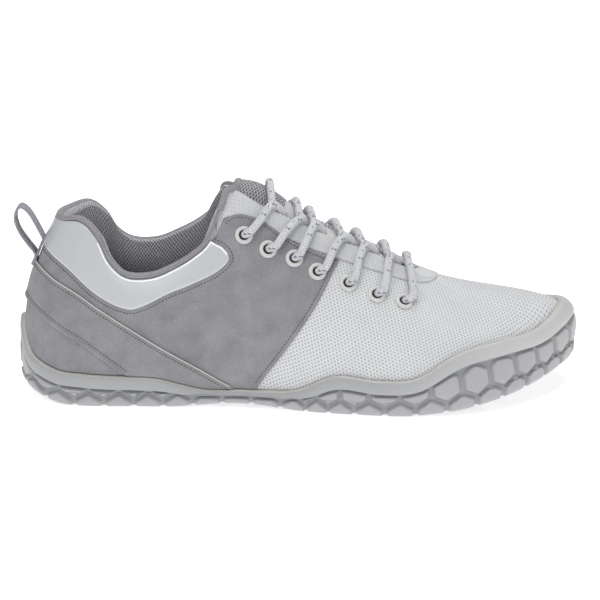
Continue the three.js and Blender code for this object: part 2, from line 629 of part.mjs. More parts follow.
// The shell over the upper that the overlays are cut from, between the rand and the rim
const SHELL_END = 14.5;
const SEAM_GAP = 0.4;
const RIM_GAP = 1;
function overlayShell(thickness) {
  const rings = ringStops(-SHELL_END, SHELL_END).map((u) => {
    const low = upFromFoot(u, blend(RANDS, u, (v) => v) + SEAM_GAP);
    const high = downFromRim(u, RIM_GAP);
    const stops = HEIGHTS.map((h) => THREE.MathUtils.clamp(h, low, high));
    return [
      ...stops.map((h) => surface(u, h, CLEAR + thickness)),
      ...stops.map((h) => surface(u, h, CLEAR)).reverse(),
    ];
  });
  return toSolid(solidFromRings(rings));
}
const OVERLAY_TOLERANCE = 0.06;
function cleanSolid(solid) {
  return fromSolid(largest(solid.asOriginal().simplify(OVERLAY_TOLERANCE)));
}
function makeStrap() {
  return cleanSolid(overlayShell(STRAP).intersect(sideCutter(STRAP_OUTLINE)));
}
// The counter ends a seam's width below the strap, as a share of the instep height
const COUNTER_DROP = 0.006;
function makeCounter() {
  const below = belowLine(STRAP_FOOT.map((row) => ({ ...row, height: row.height - COUNTER_DROP })));
  return cleanSolid(overlayShell(PANEL).intersect(sideCutter(below)));
}
function makePatch() {
  return cleanSolid(overlayShell(PATCH).intersect(sideCutter(PATCH_OUTLINE)));
}
function makeQuarter() {
  return cleanSolid(overlayShell(PANEL)
    .intersect(sideCutter(QUARTER_OUTLINE))
    .subtract(grownCutter(belowLine(STRAP_TOP), SEAM_GAP))
    .subtract(grownCutter(PATCH_OUTLINE, SEAM_GAP)));
}

// Pull loop: a webbing strip folded into a drop and stitched to the heel
const LOOP = [
  { back: 0.020, height: 0.735 },
  { back: -0.001, height: 0.787 },
  { back: -0.018, height: 0.858 },
  { back: -0.024, height: 0.918 },
  { back: -0.018, height: 0.983 },
  { back: -0.005, height: 1.004 },
  { back: 0.006, height: 0.983 },
  { back: 0.016, height: 0.918 },
];
const LOOP_FOOT = [0.88, 0.83, 0.78, 0.74];
function makeLoop() {
  const off = CLEAR + STRAP + CLEAR;
  const base = LOOP_FOOT.map((h) => surface(0, h, off));
  const outline = [
    ...base.map((p) => new THREE.Vector2(p.x, p.z)),
    ...LOOP.map((row) => new THREE.Vector2(row.back * LAST_LENGTH, row.height * INSTEP_HEIGHT)),
  ];
  const middle = outline.reduce((sum, p) => sum.add(p), new THREE.Vector2()).divideScalar(outline.length);
  const count = outline.length;
  const hole = outline.map((p, k) => {
    const tangent = outline[(k + 1) % count].clone().sub(outline[(k + count - 1) % count]).normalize();
    const inward = new THREE.Vector2(-tangent.y, tangent.x);
    if (inward.dot(middle.clone().sub(p)) < 0) inward.negate();
    return p.clone().addScaledVector(inward, LOOP_WEB);
  });
  const half = LOOP_WIDTH / 2;
  const rings = outline.map((p, k) => [[p, -half], [p, half], [hole[k], half], [hole[k], -half]]
    .map(([q, y]) => new THREE.Vector3(q.x, y, q.y)));
  return solidFromRings(rings, { loop: true });
}

// Eyelets, from the collar down to the vamp: their sections and how far below the rim they sit, and the lace that
// leaves each. over is the section where the inner strand crosses its rim, hook where it meets the outer rim under
// the outer strand, and tip where the outer strand ends inside the throat.
const EYELETS = [
  { section: 11.38, down: 0.995, on: 'panel', over: 11.98, hook: 12.10, tip: 12.35 },
  { section: 11.95, down: 1.125, on: 'panel', over: 12.60, hook: 12.76, tip: 12.86 },
  { section: 12.57, down: 1.080, on: 'panel', over: 12.95, hook: 13.12, tip: 13.34 },
  { section: 13.10, down: 1.205, on: 'panel', over: 13.66, hook: 13.94, tip: 14.24 },
  { section: 13.88, down: 1.250, on: 'vamp', over: 14.35, hook: 14.65, tip: 14.98 },
  { section: 14.65, down: 1.370, on: 'vamp', over: 15.40, hook: 15.62, tip: 15.92 },
  { section: 15.43, down: 1.420, on: 'vamp', over: 16.60, hook: 16.60, tip: 16.60 },
];
const VAMP_CLEAR = 0.1;
const EYELET_BEVEL = 0.5;
const EYELET_SIDES = 8;
const eyeletHeight = (row, side) => downFromRim(side * row.section, row.down * EYELET_DEPTH);
const eyeletBase = (row) => (row.on === 'panel' ? CLEAR + PANEL + CLEAR : CLEAR + VAMP_CLEAR);
function makeEyelet(row, side) {
  const u = side * row.section;
  const h = eyeletHeight(row, side);
  const at = surface(u, h, eyeletBase(row));
  const normal = surface(u, h, 2).sub(surface(u, h, 1)).normalize();
  const ring = new THREE.LatheGeometry([
    new THREE.Vector2(EYELET_HOLE, 0),
    new THREE.Vector2(EYELET_RADIUS, 0),
    new THREE.Vector2(EYELET_RADIUS - EYELET_BEVEL, EYELET_FLANGE),
    new THREE.Vector2(EYELET_HOLE, EYELET_FLANGE),
    new THREE.Vector2(EYELET_HOLE, 0),
  ], EYELET_SIDES);
  ring.applyQuaternion(new THREE.Quaternion().setFromUnitVectors(new THREE.Vector3(0, 1, 0), normal));
  ring.translate(at.x, at.y, at.z);
  return outward(ring);
}

// A round cord along a curve through points
const CORD_SIDES = 6;
function cord(points, steps) {
  const section = new THREE.Shape(Array.from({ length: CORD_SIDES }, (_, k) =>
    new THREE.Vector2(LACE / 2, 0).rotateAround(new THREE.Vector2(), (2 * Math.PI * k) / CORD_SIDES)));
  const extrudePath = new THREE.CatmullRomCurve3(points);
  return toSolid(new THREE.ExtrudeGeometry(section, { steps, bevelEnabled: false, extrudePath }));
}

// Ways of the lace strands. Each inner strand lies over its rim and the tongue down to the outer rim, and the outer
// strand hooks over its end there. LACE_RISE and LACE_LIFT are the heights over a rim and over the tongue.
const LACE_RISE = 3.2;
const LACE_LIFT = 1.5;
const LACE_DOWN = 8;
const LACE_STANDOFF = 4.8;
// Share of the way to its rim crossing that a strand has swung at LACE_DOWN below the rim
const LACE_SWING = 0.6;
// Inner strand past its rim: its share of the way from over to hook, the share of the throat crossed, and the rise
const INNER_WAY = [
  { to: 0.4, share: 0.40, rise: 0.0 },
  { to: 0.8, share: 0.72, rise: 0.5 },
  { to: 1.0, share: 0.93, rise: 1.6 },
];
const OUTER_END = { share: 0.17, rise: 1.2 };
const INNER_STEPS = 7;
const OUTER_STEPS = 6;
const BAR_STEPS = 10;
function overEyelet(row, side) {
  return surface(side * row.section, eyeletHeight(row, side), eyeletBase(row) + EYELET_FLANGE + 2 * CLEAR + LACE / 2);
}
function upPanel(row, to, side) {
  const u = side * (row.section + (to - row.section) * LACE_SWING);
  return surface(u, downFromRim(u, LACE_DOWN), LACE_STANDOFF);
}
function overEdge(u, rise) {
  return surface(u, 1).add(new THREE.Vector3(0, 0, rise));
}
// A point over the throat, a share of the way from the rim at u to the opposite rim
function acrossThroat(u, share, rise) {
  const at = surface(u, 1).lerp(surface(-u, 1), share);
  at.z = Math.max(at.z + rise, tongueTop(at.x, at.y) + LACE_LIFT + LACE / 2);
  return at;
}
function makeCrossing(row) {
  const past = INNER_WAY.map(({ to, share, rise }) =>
    acrossThroat(-(row.over + (row.hook - row.over) * to), share, rise));
  const inner = [overEyelet(row, -1), upPanel(row, row.over, -1), overEdge(-row.over, LACE_RISE), ...past];
  const end = acrossThroat(row.tip, OUTER_END.share, OUTER_END.rise);
  const outer = [overEyelet(row, 1), upPanel(row, row.hook, 1), overEdge(row.hook, LACE_RISE), end];
  return cleanSolid(wasm.Manifold.union([cord(inner, INNER_STEPS), cord(outer, OUTER_STEPS)]));
}
function makeBar(row) {
  const side = (s) => [overEyelet(row, s), upPanel(row, row.over, s), overEdge(s * row.over, LACE_RISE)];
  return cleanSolid(cord([...side(-1), acrossThroat(row.over, 0.5, LACE_RISE), ...side(1).reverse()], BAR_STEPS));
}

const shoe = new THREE.Group();
function add(name, geometry, color, roughness, metalness = 0) {
  const mesh = new THREE.Mesh(geometry, new THREE.MeshStandardMaterial({ color, roughness, metalness }));
  mesh.name = name;
  shoe.add(mesh);
  return mesh;
}

add('sole', makeSole(), 0xc9cbcc, 0.55);
add('upper', makeUpper(), 0xdfe2e3, 0.85);
add('tongue', makeTongue(), 0x8c8a90, 0.9);
add('insole', makeInsole(), 0x77757b, 0.9);
add('collar_padding', makePadding(), 0x7b797f, 0.95);
add('quarter', makeQuarter(), 0x98969b, 0.85);
add('heel_strap', makeStrap(), 0x949297, 0.85);
add('heel_counter', makeCounter(), 0x8e8c92, 0.85);
add('collar_patch', makePatch(), 0xc4cbcb, 0.25);
add('pull_loop', makeLoop(), 0x8f8d92, 0.9);
EYELETS.forEach((row, i) => {
  add(`eyelet_outer_${i + 1}`, makeEyelet(row, 1), 0xe4e4e0, 0.35);
  add(`eyelet_inner_${i + 1}`, makeEyelet(row, -1), 0xe4e4e0, 0.35);
});
for (let i = 0; i < EYELETS.length - 1; i++)
  add(`lace_crossing_${i + 1}`, makeCrossing(EYELETS[i]), 0xd9dbdc, 0.9);
add('lace_bar', makeBar(EYELETS[EYELETS.length - 1]), 0xd9dbdc, 0.9);

// The centre of the footprint becomes the origin
const box = new THREE.Box3().setFromObject(shoe);
const centre = box.getCenter(new THREE.Vector3());
shoe.position.set(-centre.x, -centre.y, -box.min.z);

export default shoe;
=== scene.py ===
import math

import bmesh
import bpy
import numpy as np
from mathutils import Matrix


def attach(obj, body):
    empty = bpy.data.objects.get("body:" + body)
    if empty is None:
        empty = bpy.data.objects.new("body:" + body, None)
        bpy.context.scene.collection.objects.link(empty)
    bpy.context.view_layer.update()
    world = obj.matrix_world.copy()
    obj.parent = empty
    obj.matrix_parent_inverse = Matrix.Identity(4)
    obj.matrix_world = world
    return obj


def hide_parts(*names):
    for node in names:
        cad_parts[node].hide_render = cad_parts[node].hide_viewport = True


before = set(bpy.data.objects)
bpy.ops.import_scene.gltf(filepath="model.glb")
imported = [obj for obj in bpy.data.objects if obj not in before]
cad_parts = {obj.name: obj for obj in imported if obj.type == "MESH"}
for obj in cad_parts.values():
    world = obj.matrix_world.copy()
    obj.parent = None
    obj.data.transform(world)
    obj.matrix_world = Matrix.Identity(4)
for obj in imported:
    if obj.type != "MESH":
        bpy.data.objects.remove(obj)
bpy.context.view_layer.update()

# Studio
# A seamless pale floor that glows faintly, under a bright tent, with large soft lights from the upper left,
# the right and above, and a small one overhead that draws the glints. The camera stands far off with a long
# lens, on the outer side of the shoe and 15 degrees above it.
scene = bpy.context.scene
scene.view_settings.view_transform = "Standard"

CAMERA_DISTANCE = 1.300
CAMERA_ELEVATION = math.radians(15.0)
LOOK_AT = np.array([0.00137, 0.00177, 0.0460])
FRAME_WIDTH = 0.3064
LAMP_TARGET = np.array([0, 0, 0.04])
TENT_STRENGTH, FLOOR_GLOW = 0.33, 0.56

camera_data = bpy.data.cameras.new("camera")
camera_data.sensor_width = 36.0
camera_data.lens = 36.0 * CAMERA_DISTANCE / FRAME_WIDTH
camera_data.clip_start, camera_data.clip_end = 0.05, 20.0
camera = bpy.data.objects.new("camera", camera_data)
scene.collection.objects.link(camera)
camera.location = LOOK_AT + CAMERA_DISTANCE * np.array(
    [0, -math.cos(CAMERA_ELEVATION), math.sin(CAMERA_ELEVATION)])
camera.rotation_euler = (math.pi / 2 - CAMERA_ELEVATION, 0, 0)
scene.camera = camera

world = bpy.data.worlds.new("tent")
scene.world = world
world.use_nodes = True
world.node_tree.nodes["Background"].inputs["Color"].default_value = (1.0, 1.0, 1.0, 1)
world.node_tree.nodes["Background"].inputs["Strength"].default_value = TENT_STRENGTH


def soft_light(name, place, size, power):
    """A square area light at a place, turned towards the shoe, with a side in metres and a power in watts."""
    data = bpy.data.lights.new(name, "AREA")
    data.shape, data.size, data.energy = "SQUARE", size, power
    lamp = bpy.data.objects.new(name, data)
    scene.collection.objects.link(lamp)
    lamp.location = place
    way = LAMP_TARGET - np.array(place)
    tilt = math.acos(-way[2] / np.linalg.norm(way))
    lamp.rotation_euler = (tilt, 0, math.atan2(way[1], way[0]) - math.pi / 2)


soft_light("key", (-0.55, -0.75, 1.05), 0.9, 4.3)
soft_light("fill", (1.0, -0.9, 0.6), 0.9, 2.4)
soft_light("top", (0.1, 0.25, 1.1), 0.8, 5.4)
soft_light("glint", (0.05, -0.30, 1.3), 0.14, 2.0)


def linear(r, g, b):
    """A linear colour from an 8-bit screen colour: the screen's curve undone."""
    c = np.array([r, g, b]) / 255.0
    return tuple(np.where(c <= 0.04045, c / 12.92, ((c + 0.055) / 1.055) ** 2.4)) + (1.0,)


def plain_material(name, colour, roughness, **sockets):
    """A Principled material with its own shader, and values set on the shader's own sockets."""
    material = bpy.data.materials.new(name)
    material.use_nodes = True
    shader = material.node_tree.nodes["Principled BSDF"]
    shader.inputs["Base Color"].default_value = linear(*colour)
    shader.inputs["Roughness"].default_value = roughness
    for socket, value in sockets.items():
        shader.inputs[socket.replace("_", " ")].default_value = value
    return material


floor_mesh = bpy.data.meshes.new("floor")
floor_mesh.from_pydata([(-6, -6, 0), (6, -6, 0), (6, 6, 0), (-6, 6, 0)], [], [(0, 1, 2, 3)])
floor = bpy.data.objects.new("floor", floor_mesh)
scene.collection.objects.link(floor)
floor_mesh.materials.append(plain_material("pale floor", (250, 250, 250), 0.9, Emission_Strength=FLOOR_GLOW))

# Upper
# The white mesh upper is a thin textile shell, pulled over the last and closed underneath by the sole. Each
# side curve starts upright at the foot, swells at the belly and leans in to the rim from the shoulder. All
# later panels lie on this same surface, so the last's table and its functions are made here.
LAST_LENGTH, BALL_WIDTH, HEEL_HEIGHT, INSTEP_HEIGHT = 277.0, 97.0, 83.5, 97.0
SOLE_THICKNESS, TOE_SPRING, HEEL_ROUNDING, HEEL_CUP, ARCH_LIFT, RAND_HEIGHT = 7.5, 14.5, 8.0, 5.0, 2.5, 32.0
WALL, CLEAR = 2.0, 0.3
FOOTPRINT_CENTRE = np.array([137.631, -1.766, 0.0])

SECTION_COLUMNS = ("along outer inner slant rim_along rim_outer rim_inner heel instep "
                   "lift belly rise shoulder drop rand")
SECTIONS = np.array([
    (0, 0, 0, 0, 0.065, 0, 0, 1, 0, 0, 0.041, 0.38, 0.12, 0.25, 0.84),
    (0.018, 0.186, 0.186, 0, 0.078, 0.124, 0.124, 1.005, 0, 0, 0.041, 0.38, 0.1, 0.25, 0.42),
    (0.061, 0.294, 0.289, 0, 0.112, 0.211, 0.211, 1.02, 0, 0, 0.046, 0.35, 0.062, 0.26, 0.31),
    (0.108, 0.33, 0.32, 0, 0.141, 0.263, 0.258, 0.93, 0, 0.01, 0.052, 0.36, 0.031, 0.28, 0.29),
    (0.152, 0.34, 0.33, 0, 0.161, 0.294, 0.289, 0.8, 0, 0.025, 0.052, 0.39, 0.015, 0.3, 0.27),
    (0.199, 0.34, 0.325, 0, 0.191, 0.314, 0.304, 0.716, 0, 0.04, 0.052, 0.42, 0.01, 0.3, 0.26),
    (0.245, 0.345, 0.314, 0, 0.235, 0.32, 0.304, 0.715, 0, 0.04, 0.046, 0.42, 0.01, 0.3, 0.235),
    (0.289, 0.35, 0.304, 0, 0.274, 0.314, 0.299, 0.766, 0, 0.04, 0.041, 0.41, 0.015, 0.31, 0.14),
    (0.329, 0.356, 0.299, 0, 0.309, 0.299, 0.289, 0.835, 0, 0.035, 0.041, 0.4, 0.02, 0.31, 0.065),
    (0.365, 0.366, 0.294, 0, 0.336, 0.273, 0.268, 0.92, 0, 0.03, 0.041, 0.39, 0.03, 0.31, 0.065),
    (0.401, 0.376, 0.294, 0, 0.357, 0.211, 0.211, 0, 0.945, 0.002, 0.036, 0.35, 0.082, 0.3, 0.065),
    (0.44, 0.392, 0.299, 0, 0.375, 0.175, 0.195, 0, 1, -0.035, 0.036, 0.35, 0.124, 0.27, 0.065),
    (0.498, 0.423, 0.32, 0, 0.444, 0.165, 0.145, 0, 0.925, 0, 0.036, 0.38, 0.144, 0.25, 0.11),
    (0.57, 0.469, 0.366, 0, 0.52, 0.16, 0.125, 0, 0.82, 0, 0.041, 0.41, 0.155, 0.22, 0.37),
    (0.65, 0.505, 0.423, 0.004, 0.585, 0.155, 0.115, 0, 0.742, -0.005, 0.041, 0.435, 0.16, 0.21, 0.32),
    (0.729, 0.52, 0.464, 0.014, 0.639, 0.145, 0.105, 0, 0.678, -0.005, 0.041, 0.45, 0.175, 0.21, 0.36),
    (0.82, 0.49, 0.479, 0.025, 0.682, 0.11, 0.09, 0, 0.615, 0, 0.044, 0.47, 0.24, 0.28, 0.64),
    (0.906, 0.371, 0.423, 0.032, 0.708, 0.055, 0.065, 0, 0.578, 0, 0.052, 0.5, 0.37, 0.36, 0.66),
    (0.967, 0.175, 0.3, 0.025, 0.717, 0.005, 0.045, 0, 0.566, 0, 0.068, 0.53, 0.52, 0.4, 0.62),
    (0.996, -0.082, 0.082, 0, 0.718, -0.031, 0.031, 0, 0.562, 0, 0.08, 0.6, 0.61, 0.37, 0.78),
])
TOE = len(SECTIONS) - 1
ROUND = 2 * TOE


def toe_spring(x):
    """The toe's lift: nothing up to two thirds of the length, then growing with the power 1.6."""
    return TOE_SPRING * np.clip((x / LAST_LENGTH - 0.67) / 0.33, 0, None) ** 1.6


def heel_round(x):
    """One at the back of the heel, falling with the square of the distance to nothing at its end."""
    return np.clip(1 - x / LAST_LENGTH / 0.094, 0, None) ** 2


def ground_line(x):
    """Height of the sole's ground side: heel rounding, a sine-squared arch and the toe's lift."""
    arch = np.clip((x / LAST_LENGTH - 0.25) / 0.28, 0, 1)
    return HEEL_ROUNDING * heel_round(x) + ARCH_LIFT * np.sin(np.pi * arch) ** 2 + toe_spring(x)


def floor_line(x):
    """Height of the sole's inner floor: its thickness, the heel cup and the toe's lift."""
    return SOLE_THICKNESS + HEEL_CUP * heel_round(x) + toe_spring(x)


def last_controls():
    """Foot, belly, shoulder and rim points of the side curve of each section, all round the shoe."""
    order = [(i, -1) for i in range(TOE + 1)] + [(i, 1) for i in range(TOE - 1, 0, -1)]
    rows = np.array([i for i, _ in order])
    side = np.array([s for _, s in order])
    c = dict(zip(SECTION_COLUMNS.split(), SECTIONS[rows].T))
    x = LAST_LENGTH * (c["along"] + side * c["slant"])
    y = np.where(side < 0, -c["outer"], c["inner"]) * BALL_WIDTH
    foot = np.stack([x, y, floor_line(x) + CLEAR], 1)
    step = np.roll(foot, -1, 0) - np.roll(foot, 1, 0)
    out = np.stack([step[:, 1], -step[:, 0], 0 * x], 1)
    out /= np.linalg.norm(out, axis=1)[:, None]
    height = c["heel"] * HEEL_HEIGHT + c["instep"] * INSTEP_HEIGHT
    rim_y = np.where(side < 0, -c["rim_outer"], c["rim_inner"]) * BALL_WIDTH
    rim_z = SOLE_THICKNESS + height + np.where(side > 0, c["lift"] * BALL_WIDTH, 0)
    rim = np.stack([LAST_LENGTH * c["rim_along"], rim_y, rim_z], 1)
    up = np.array([0, 0, 1.0])
    belly = foot + out * (c["belly"] * BALL_WIDTH)[:, None] + up * (c["rise"] * height)[:, None]
    shoulder = rim + out * (c["shoulder"] * BALL_WIDTH)[:, None] - up * (c["drop"] * height)[:, None]
    return np.stack([foot, belly, shoulder, rim], 1), c["rand"] * RAND_HEIGHT


CONTROLS, RANDS = last_controls()


def spline_step(a, b, c, d, f):
    """The Catmull-Rom cubic from b at f = 0 to c at f = 1, with slopes half of c - a and half of d - b."""
    return 0.5 * (2 * b + (c - a) * f + (2 * a - 5 * b + 4 * c - d) * f ** 2
                  + (3 * b - a - 3 * c + d) * f ** 3)


def blend(values, u):
    """A smooth closed curve through values one section apart: the Catmull-Rom spline, round and round."""
    u = np.asarray(u, float)
    i = np.floor(u).astype(int)
    f = (u - i).reshape(u.shape + (1,) * (values.ndim - 1))
    a, b, c, d = (values[(i + k) % len(values)] for k in (-1, 0, 1, 2))
    return spline_step(a, b, c, d, f)


def last_point(u, h):
    """A point of the last: the cubic curve of section u at height share h."""
    u, h = np.broadcast_arrays(np.asarray(u, float), np.asarray(h, float))
    c = blend(CONTROLS, u)
    g, h = (1 - h)[..., None], h[..., None]
    return (g ** 3 * c[..., 0, :] + 3 * g * g * h * c[..., 1, :]
            + 3 * g * h * h * c[..., 2, :] + h ** 3 * c[..., 3, :])


def last_normal(u, h):
    """The way out of the last: the cross product of its two slopes."""
    along = last_point(u + 0.02, h) - last_point(u - 0.02, h)
    up = last_point(u, h + 0.01) - last_point(u, h - 0.01)
    n = np.cross(along, up)
    return n / np.linalg.norm(n, axis=-1, keepdims=True)


def on_last(u, h, out=0.0):
    """A point that stands off the last by a distance along its normal."""
    u, h, out = np.broadcast_arrays(np.asarray(u, float), np.asarray(h, float), np.asarray(out, float))
    return last_point(u, h) + last_normal(u, h) * out[..., None]


def run_along(points):
    """Length along each line of points, from nothing at its start: the steps between neighbours added up."""
    steps = np.linalg.norm(np.diff(points, axis=-2), axis=-1)
    return np.concatenate([np.zeros(steps.shape[:-1] + (1,)), np.cumsum(steps, -1)], -1)


def share_up(u, length, from_rim=False):
    """Height share of the point a length up each side curve from the foot, or down it from the rim."""
    u, length = np.broadcast_arrays(np.asarray(u, float), np.asarray(length, float))
    h = np.linspace(1, 0, 121) if from_rim else np.linspace(0, 1, 121)
    gone = run_along(last_point(u[..., None], h))
    k = np.clip((gone < length[..., None]).sum(-1), 1, 120)
    low, high = (np.take_along_axis(gone, (k + d)[..., None], -1)[..., 0] for d in (-1, 0))
    f = np.clip((length - low) / (high - low), 0, 1)
    return h[k - 1] + (h[k] - h[k - 1]) * f


def surface_mesh(name, grid, wrap_u, wrap_v, materials, uv=None, part=None):
    """A mesh from a grid of points in millimetres of the last: a quad between each four neighbours, open
    ends filled and faces turned outwards. uv is in millimetres on the surface, and part says which of the
    materials each quad has."""
    nu, nv = grid.shape[:2]
    mu, mv = nu - (not wrap_u), nv - (not wrap_v)
    i, j = np.meshgrid(np.arange(mu), np.arange(mv), indexing="ij")
    corner = lambda a, b: ((i + a) % nu) * nv + (j + b) % nv
    quad = ((0, 0), (1, 0), (1, 1), (0, 1))
    faces = np.stack([corner(a, b) for a, b in quad], -1).reshape(-1, 4)
    mesh = bpy.data.meshes.new(name)
    mesh.vertices.add(nu * nv)
    mesh.vertices.foreach_set("co", ((grid - FOOTPRINT_CENTRE) / 1000).reshape(-1))
    mesh.loops.add(faces.size)
    mesh.loops.foreach_set("vertex_index", faces.reshape(-1))
    mesh.polygons.add(len(faces))
    mesh.polygons.foreach_set("loop_start", np.arange(len(faces)) * 4)
    if uv is not None:
        width = uv.shape[1]
        at = np.stack([(i + a) * width + (j + b) for a, b in quad], -1).reshape(-1)
        layer = mesh.uv_layers.new(name="UVMap")
        layer.data.foreach_set("uv", (uv.reshape(-1, 2)[at] / 1000).reshape(-1))
    if part is not None:
        chosen = np.broadcast_to(part, (mu, mv)).reshape(-1).astype(np.int32)
        mesh.polygons.foreach_set("material_index", chosen)
    mesh.update(calc_edges=True)
    shell = bmesh.new()
    shell.from_mesh(mesh)
    bmesh.ops.remove_doubles(shell, verts=shell.verts, dist=2e-6)
    bmesh.ops.holes_fill(shell, edges=[e for e in shell.edges if e.is_boundary], sides=0)
    if shell.calc_volume(signed=True) < 0:
        bmesh.ops.reverse_faces(shell, faces=shell.faces)
    shell.to_mesh(mesh)
    shell.free()
    mesh.polygons.foreach_set("use_smooth", np.ones(len(mesh.polygons), bool))
    for material in materials:
        mesh.materials.append(material)
    piece = bpy.data.objects.new(name, mesh)
    scene.collection.objects.link(piece)
    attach(piece, "root")
    return piece


def new_group(name, inputs, outputs):
    """An empty shader node group with named float or vector inputs and outputs."""
    group = bpy.data.node_groups.new(name, "ShaderNodeTree")
    for label, kind, value in inputs:
        socket = group.interface.new_socket(name=label, in_out="INPUT", socket_type=kind)
        if value is not None:
            socket.default_value = value
    for label, kind in outputs:
        group.interface.new_socket(name=label, in_out="OUTPUT", socket_type=kind)
    return group, group.nodes.new("NodeGroupInput"), group.nodes.new("NodeGroupOutput")


def math_node(tree, operation, a, b=None, clamp=False):
    """One Math node, each operand a socket or a number; returns its output."""
    node = tree.nodes.new("ShaderNodeMath")
    node.operation, node.use_clamp = operation, clamp
    for slot, value in zip(node.inputs, (a, b)):
        if isinstance(value, (int, float)):
            slot.default_value = value
        elif value is not None:
            tree.links.new(value, slot)
    return node.outputs[0]


def cell_group(name, staggered, lean=0.0):
    """Round dimples of a knitted mesh. At p and q from the nearest point of an even lattice, the depth is
    1 - (p^2 + q^2 + 2 lean p q) / size^2 and never below nothing, so it is 1 in a dimple and 0 on the yarn. A
    staggered lattice is turned by half a right angle, and lean keeps the dimples round where columns lean."""
    group, given, made = new_group(name, [
        ("Vector", "NodeSocketVector", None), ("Long pitch", "NodeSocketFloat", 1.8),
        ("Short pitch", "NodeSocketFloat", 1.3), ("Size", "NodeSocketFloat", 0.5)],
        [("Depth", "NodeSocketFloat")])
    split = group.nodes.new("ShaderNodeSeparateXYZ")
    group.links.new(given.outputs["Vector"], split.inputs[0])
    x, y = (math_node(group, "DIVIDE", math_node(group, "MULTIPLY", split.outputs[axis], 1000.0),
                      given.outputs[pitch]) for axis, pitch in enumerate(("Long pitch", "Short pitch")))
    turned = group.nodes.new("ShaderNodeCombineXYZ")
    if staggered:
        half_y = math_node(group, "MULTIPLY", y, 0.5)
        x, y = math_node(group, "ADD", x, half_y), math_node(group, "SUBTRACT", half_y, x)
    group.links.new(x, turned.inputs[0])
    group.links.new(y, turned.inputs[1])
    cells = group.nodes.new("ShaderNodeTexVoronoi")
    cells.voronoi_dimensions = "2D"
    cells.inputs["Scale"].default_value = 1.0
    cells.inputs["Randomness"].default_value = 0.06
    group.links.new(turned.outputs[0], cells.inputs["Vector"])
    apart = group.nodes.new("ShaderNodeVectorMath")
    apart.operation = "SUBTRACT"
    group.links.new(cells.outputs["Position"], apart.inputs[0])
    group.links.new(turned.outputs[0], apart.inputs[1])
    ways = group.nodes.new("ShaderNodeSeparateXYZ")
    group.links.new(apart.outputs[0], ways.inputs[0])
    p, q = ways.outputs[0], ways.outputs[1]
    squares = math_node(group, "ADD", math_node(group, "MULTIPLY", p, p), math_node(group, "MULTIPLY", q, q))
    crossed = math_node(group, "MULTIPLY", math_node(group, "MULTIPLY", p, q), 2 * lean)
    reach = math_node(group, "DIVIDE", math_node(group, "ADD", squares, crossed),
                      math_node(group, "POWER", given.outputs["Size"], 2.0))
    hollow = math_node(group, "SUBTRACT", 1.0, reach, clamp=True)
    group.links.new(hollow, made.inputs["Depth"])
    return group


def grain_group():
    """Uneven grain: one noise with its finer octaves, less its middle value of a half."""
    group, given, made = new_group("grain", [
        ("Vector", "NodeSocketVector", None), ("Scale", "NodeSocketFloat", 900.0),
        ("Detail", "NodeSocketFloat", 3.0)], [("Value", "NodeSocketFloat")])
    noise = group.nodes.new("ShaderNodeTexNoise")
    group.links.new(given.outputs["Vector"], noise.inputs["Vector"])
    group.links.new(given.outputs["Scale"], noise.inputs["Scale"])
    group.links.new(given.outputs["Detail"], noise.inputs["Detail"])
    group.links.new(math_node(group, "SUBTRACT", noise.outputs["Fac"], 0.5), made.inputs["Value"])
    return group


KNIT, OPEN_KNIT, GRAIN = cell_group("knit dimples", True), cell_group("open knit", False, 0.38), grain_group()


def placed(tree, group, vector, **values):
    """A node group placed in a material with its own values; returns the node."""
    node = tree.nodes.new("ShaderNodeGroup")
    node.node_tree = group
    tree.links.new(vector, node.inputs["Vector"])
    for label, value in values.items():
        node.inputs[label.replace("_", " ")].default_value = value
    return node


def coordinates(tree, kind):
    """The UV or Object output of a Texture Coordinate node."""
    return tree.nodes.new("ShaderNodeTexCoord").outputs[kind]


def mixed(tree, factor, low, high):
    """A colour between two colours by a factor socket; each colour is an 8-bit triple or a socket."""
    node = tree.nodes.new("ShaderNodeMix")
    node.data_type = "RGBA"
    tree.links.new(factor, node.inputs["Factor"])
    for label, value in (("A", low), ("B", high)):
        slot = [s for s in node.inputs if s.name == label and s.type == "RGBA"][0]
        if isinstance(value, tuple):
            slot.default_value = linear(*value)
        else:
            tree.links.new(value, slot)
    return [s for s in node.outputs if s.type == "RGBA"][0]


def raised(tree, height, distance, strength=1.0):
    """A Bump node that feeds the shader's Normal, with a height in shares of a distance in metres."""
    bump = tree.nodes.new("ShaderNodeBump")
    bump.inputs["Distance"].default_value = distance
    bump.inputs["Strength"].default_value = strength
    tree.links.new(height, bump.inputs["Height"])
    tree.links.new(bump.outputs[0], tree.nodes["Principled BSDF"].inputs["Normal"])


def textile(name, yarn, hollow, long_pitch, short_pitch, size, depth, roughness=0.85, sheen=0.15,
            lattice=KNIT):
    """A knitted textile: light yarn round darker dimples that follow the surface, with an uneven tint."""
    material = plain_material(name, yarn, roughness, Sheen_Weight=sheen)
    tree = material.node_tree
    uv = coordinates(tree, "UV")
    cells = placed(tree, lattice, uv, Long_pitch=long_pitch, Short_pitch=short_pitch, Size=size)
    tint = placed(tree, GRAIN, uv, Scale=60.0)
    faint = math_node(tree, "MULTIPLY", tint.outputs["Value"], 0.25)
    shade = math_node(tree, "ADD", cells.outputs["Depth"], faint, clamp=True)
    colour = mixed(tree, shade, yarn, hollow)
    tree.links.new(colour, tree.nodes["Principled BSDF"].inputs["Base Color"])
    raised(tree, math_node(tree, "SUBTRACT", 1.0, cells.outputs["Depth"]), depth)
    return material


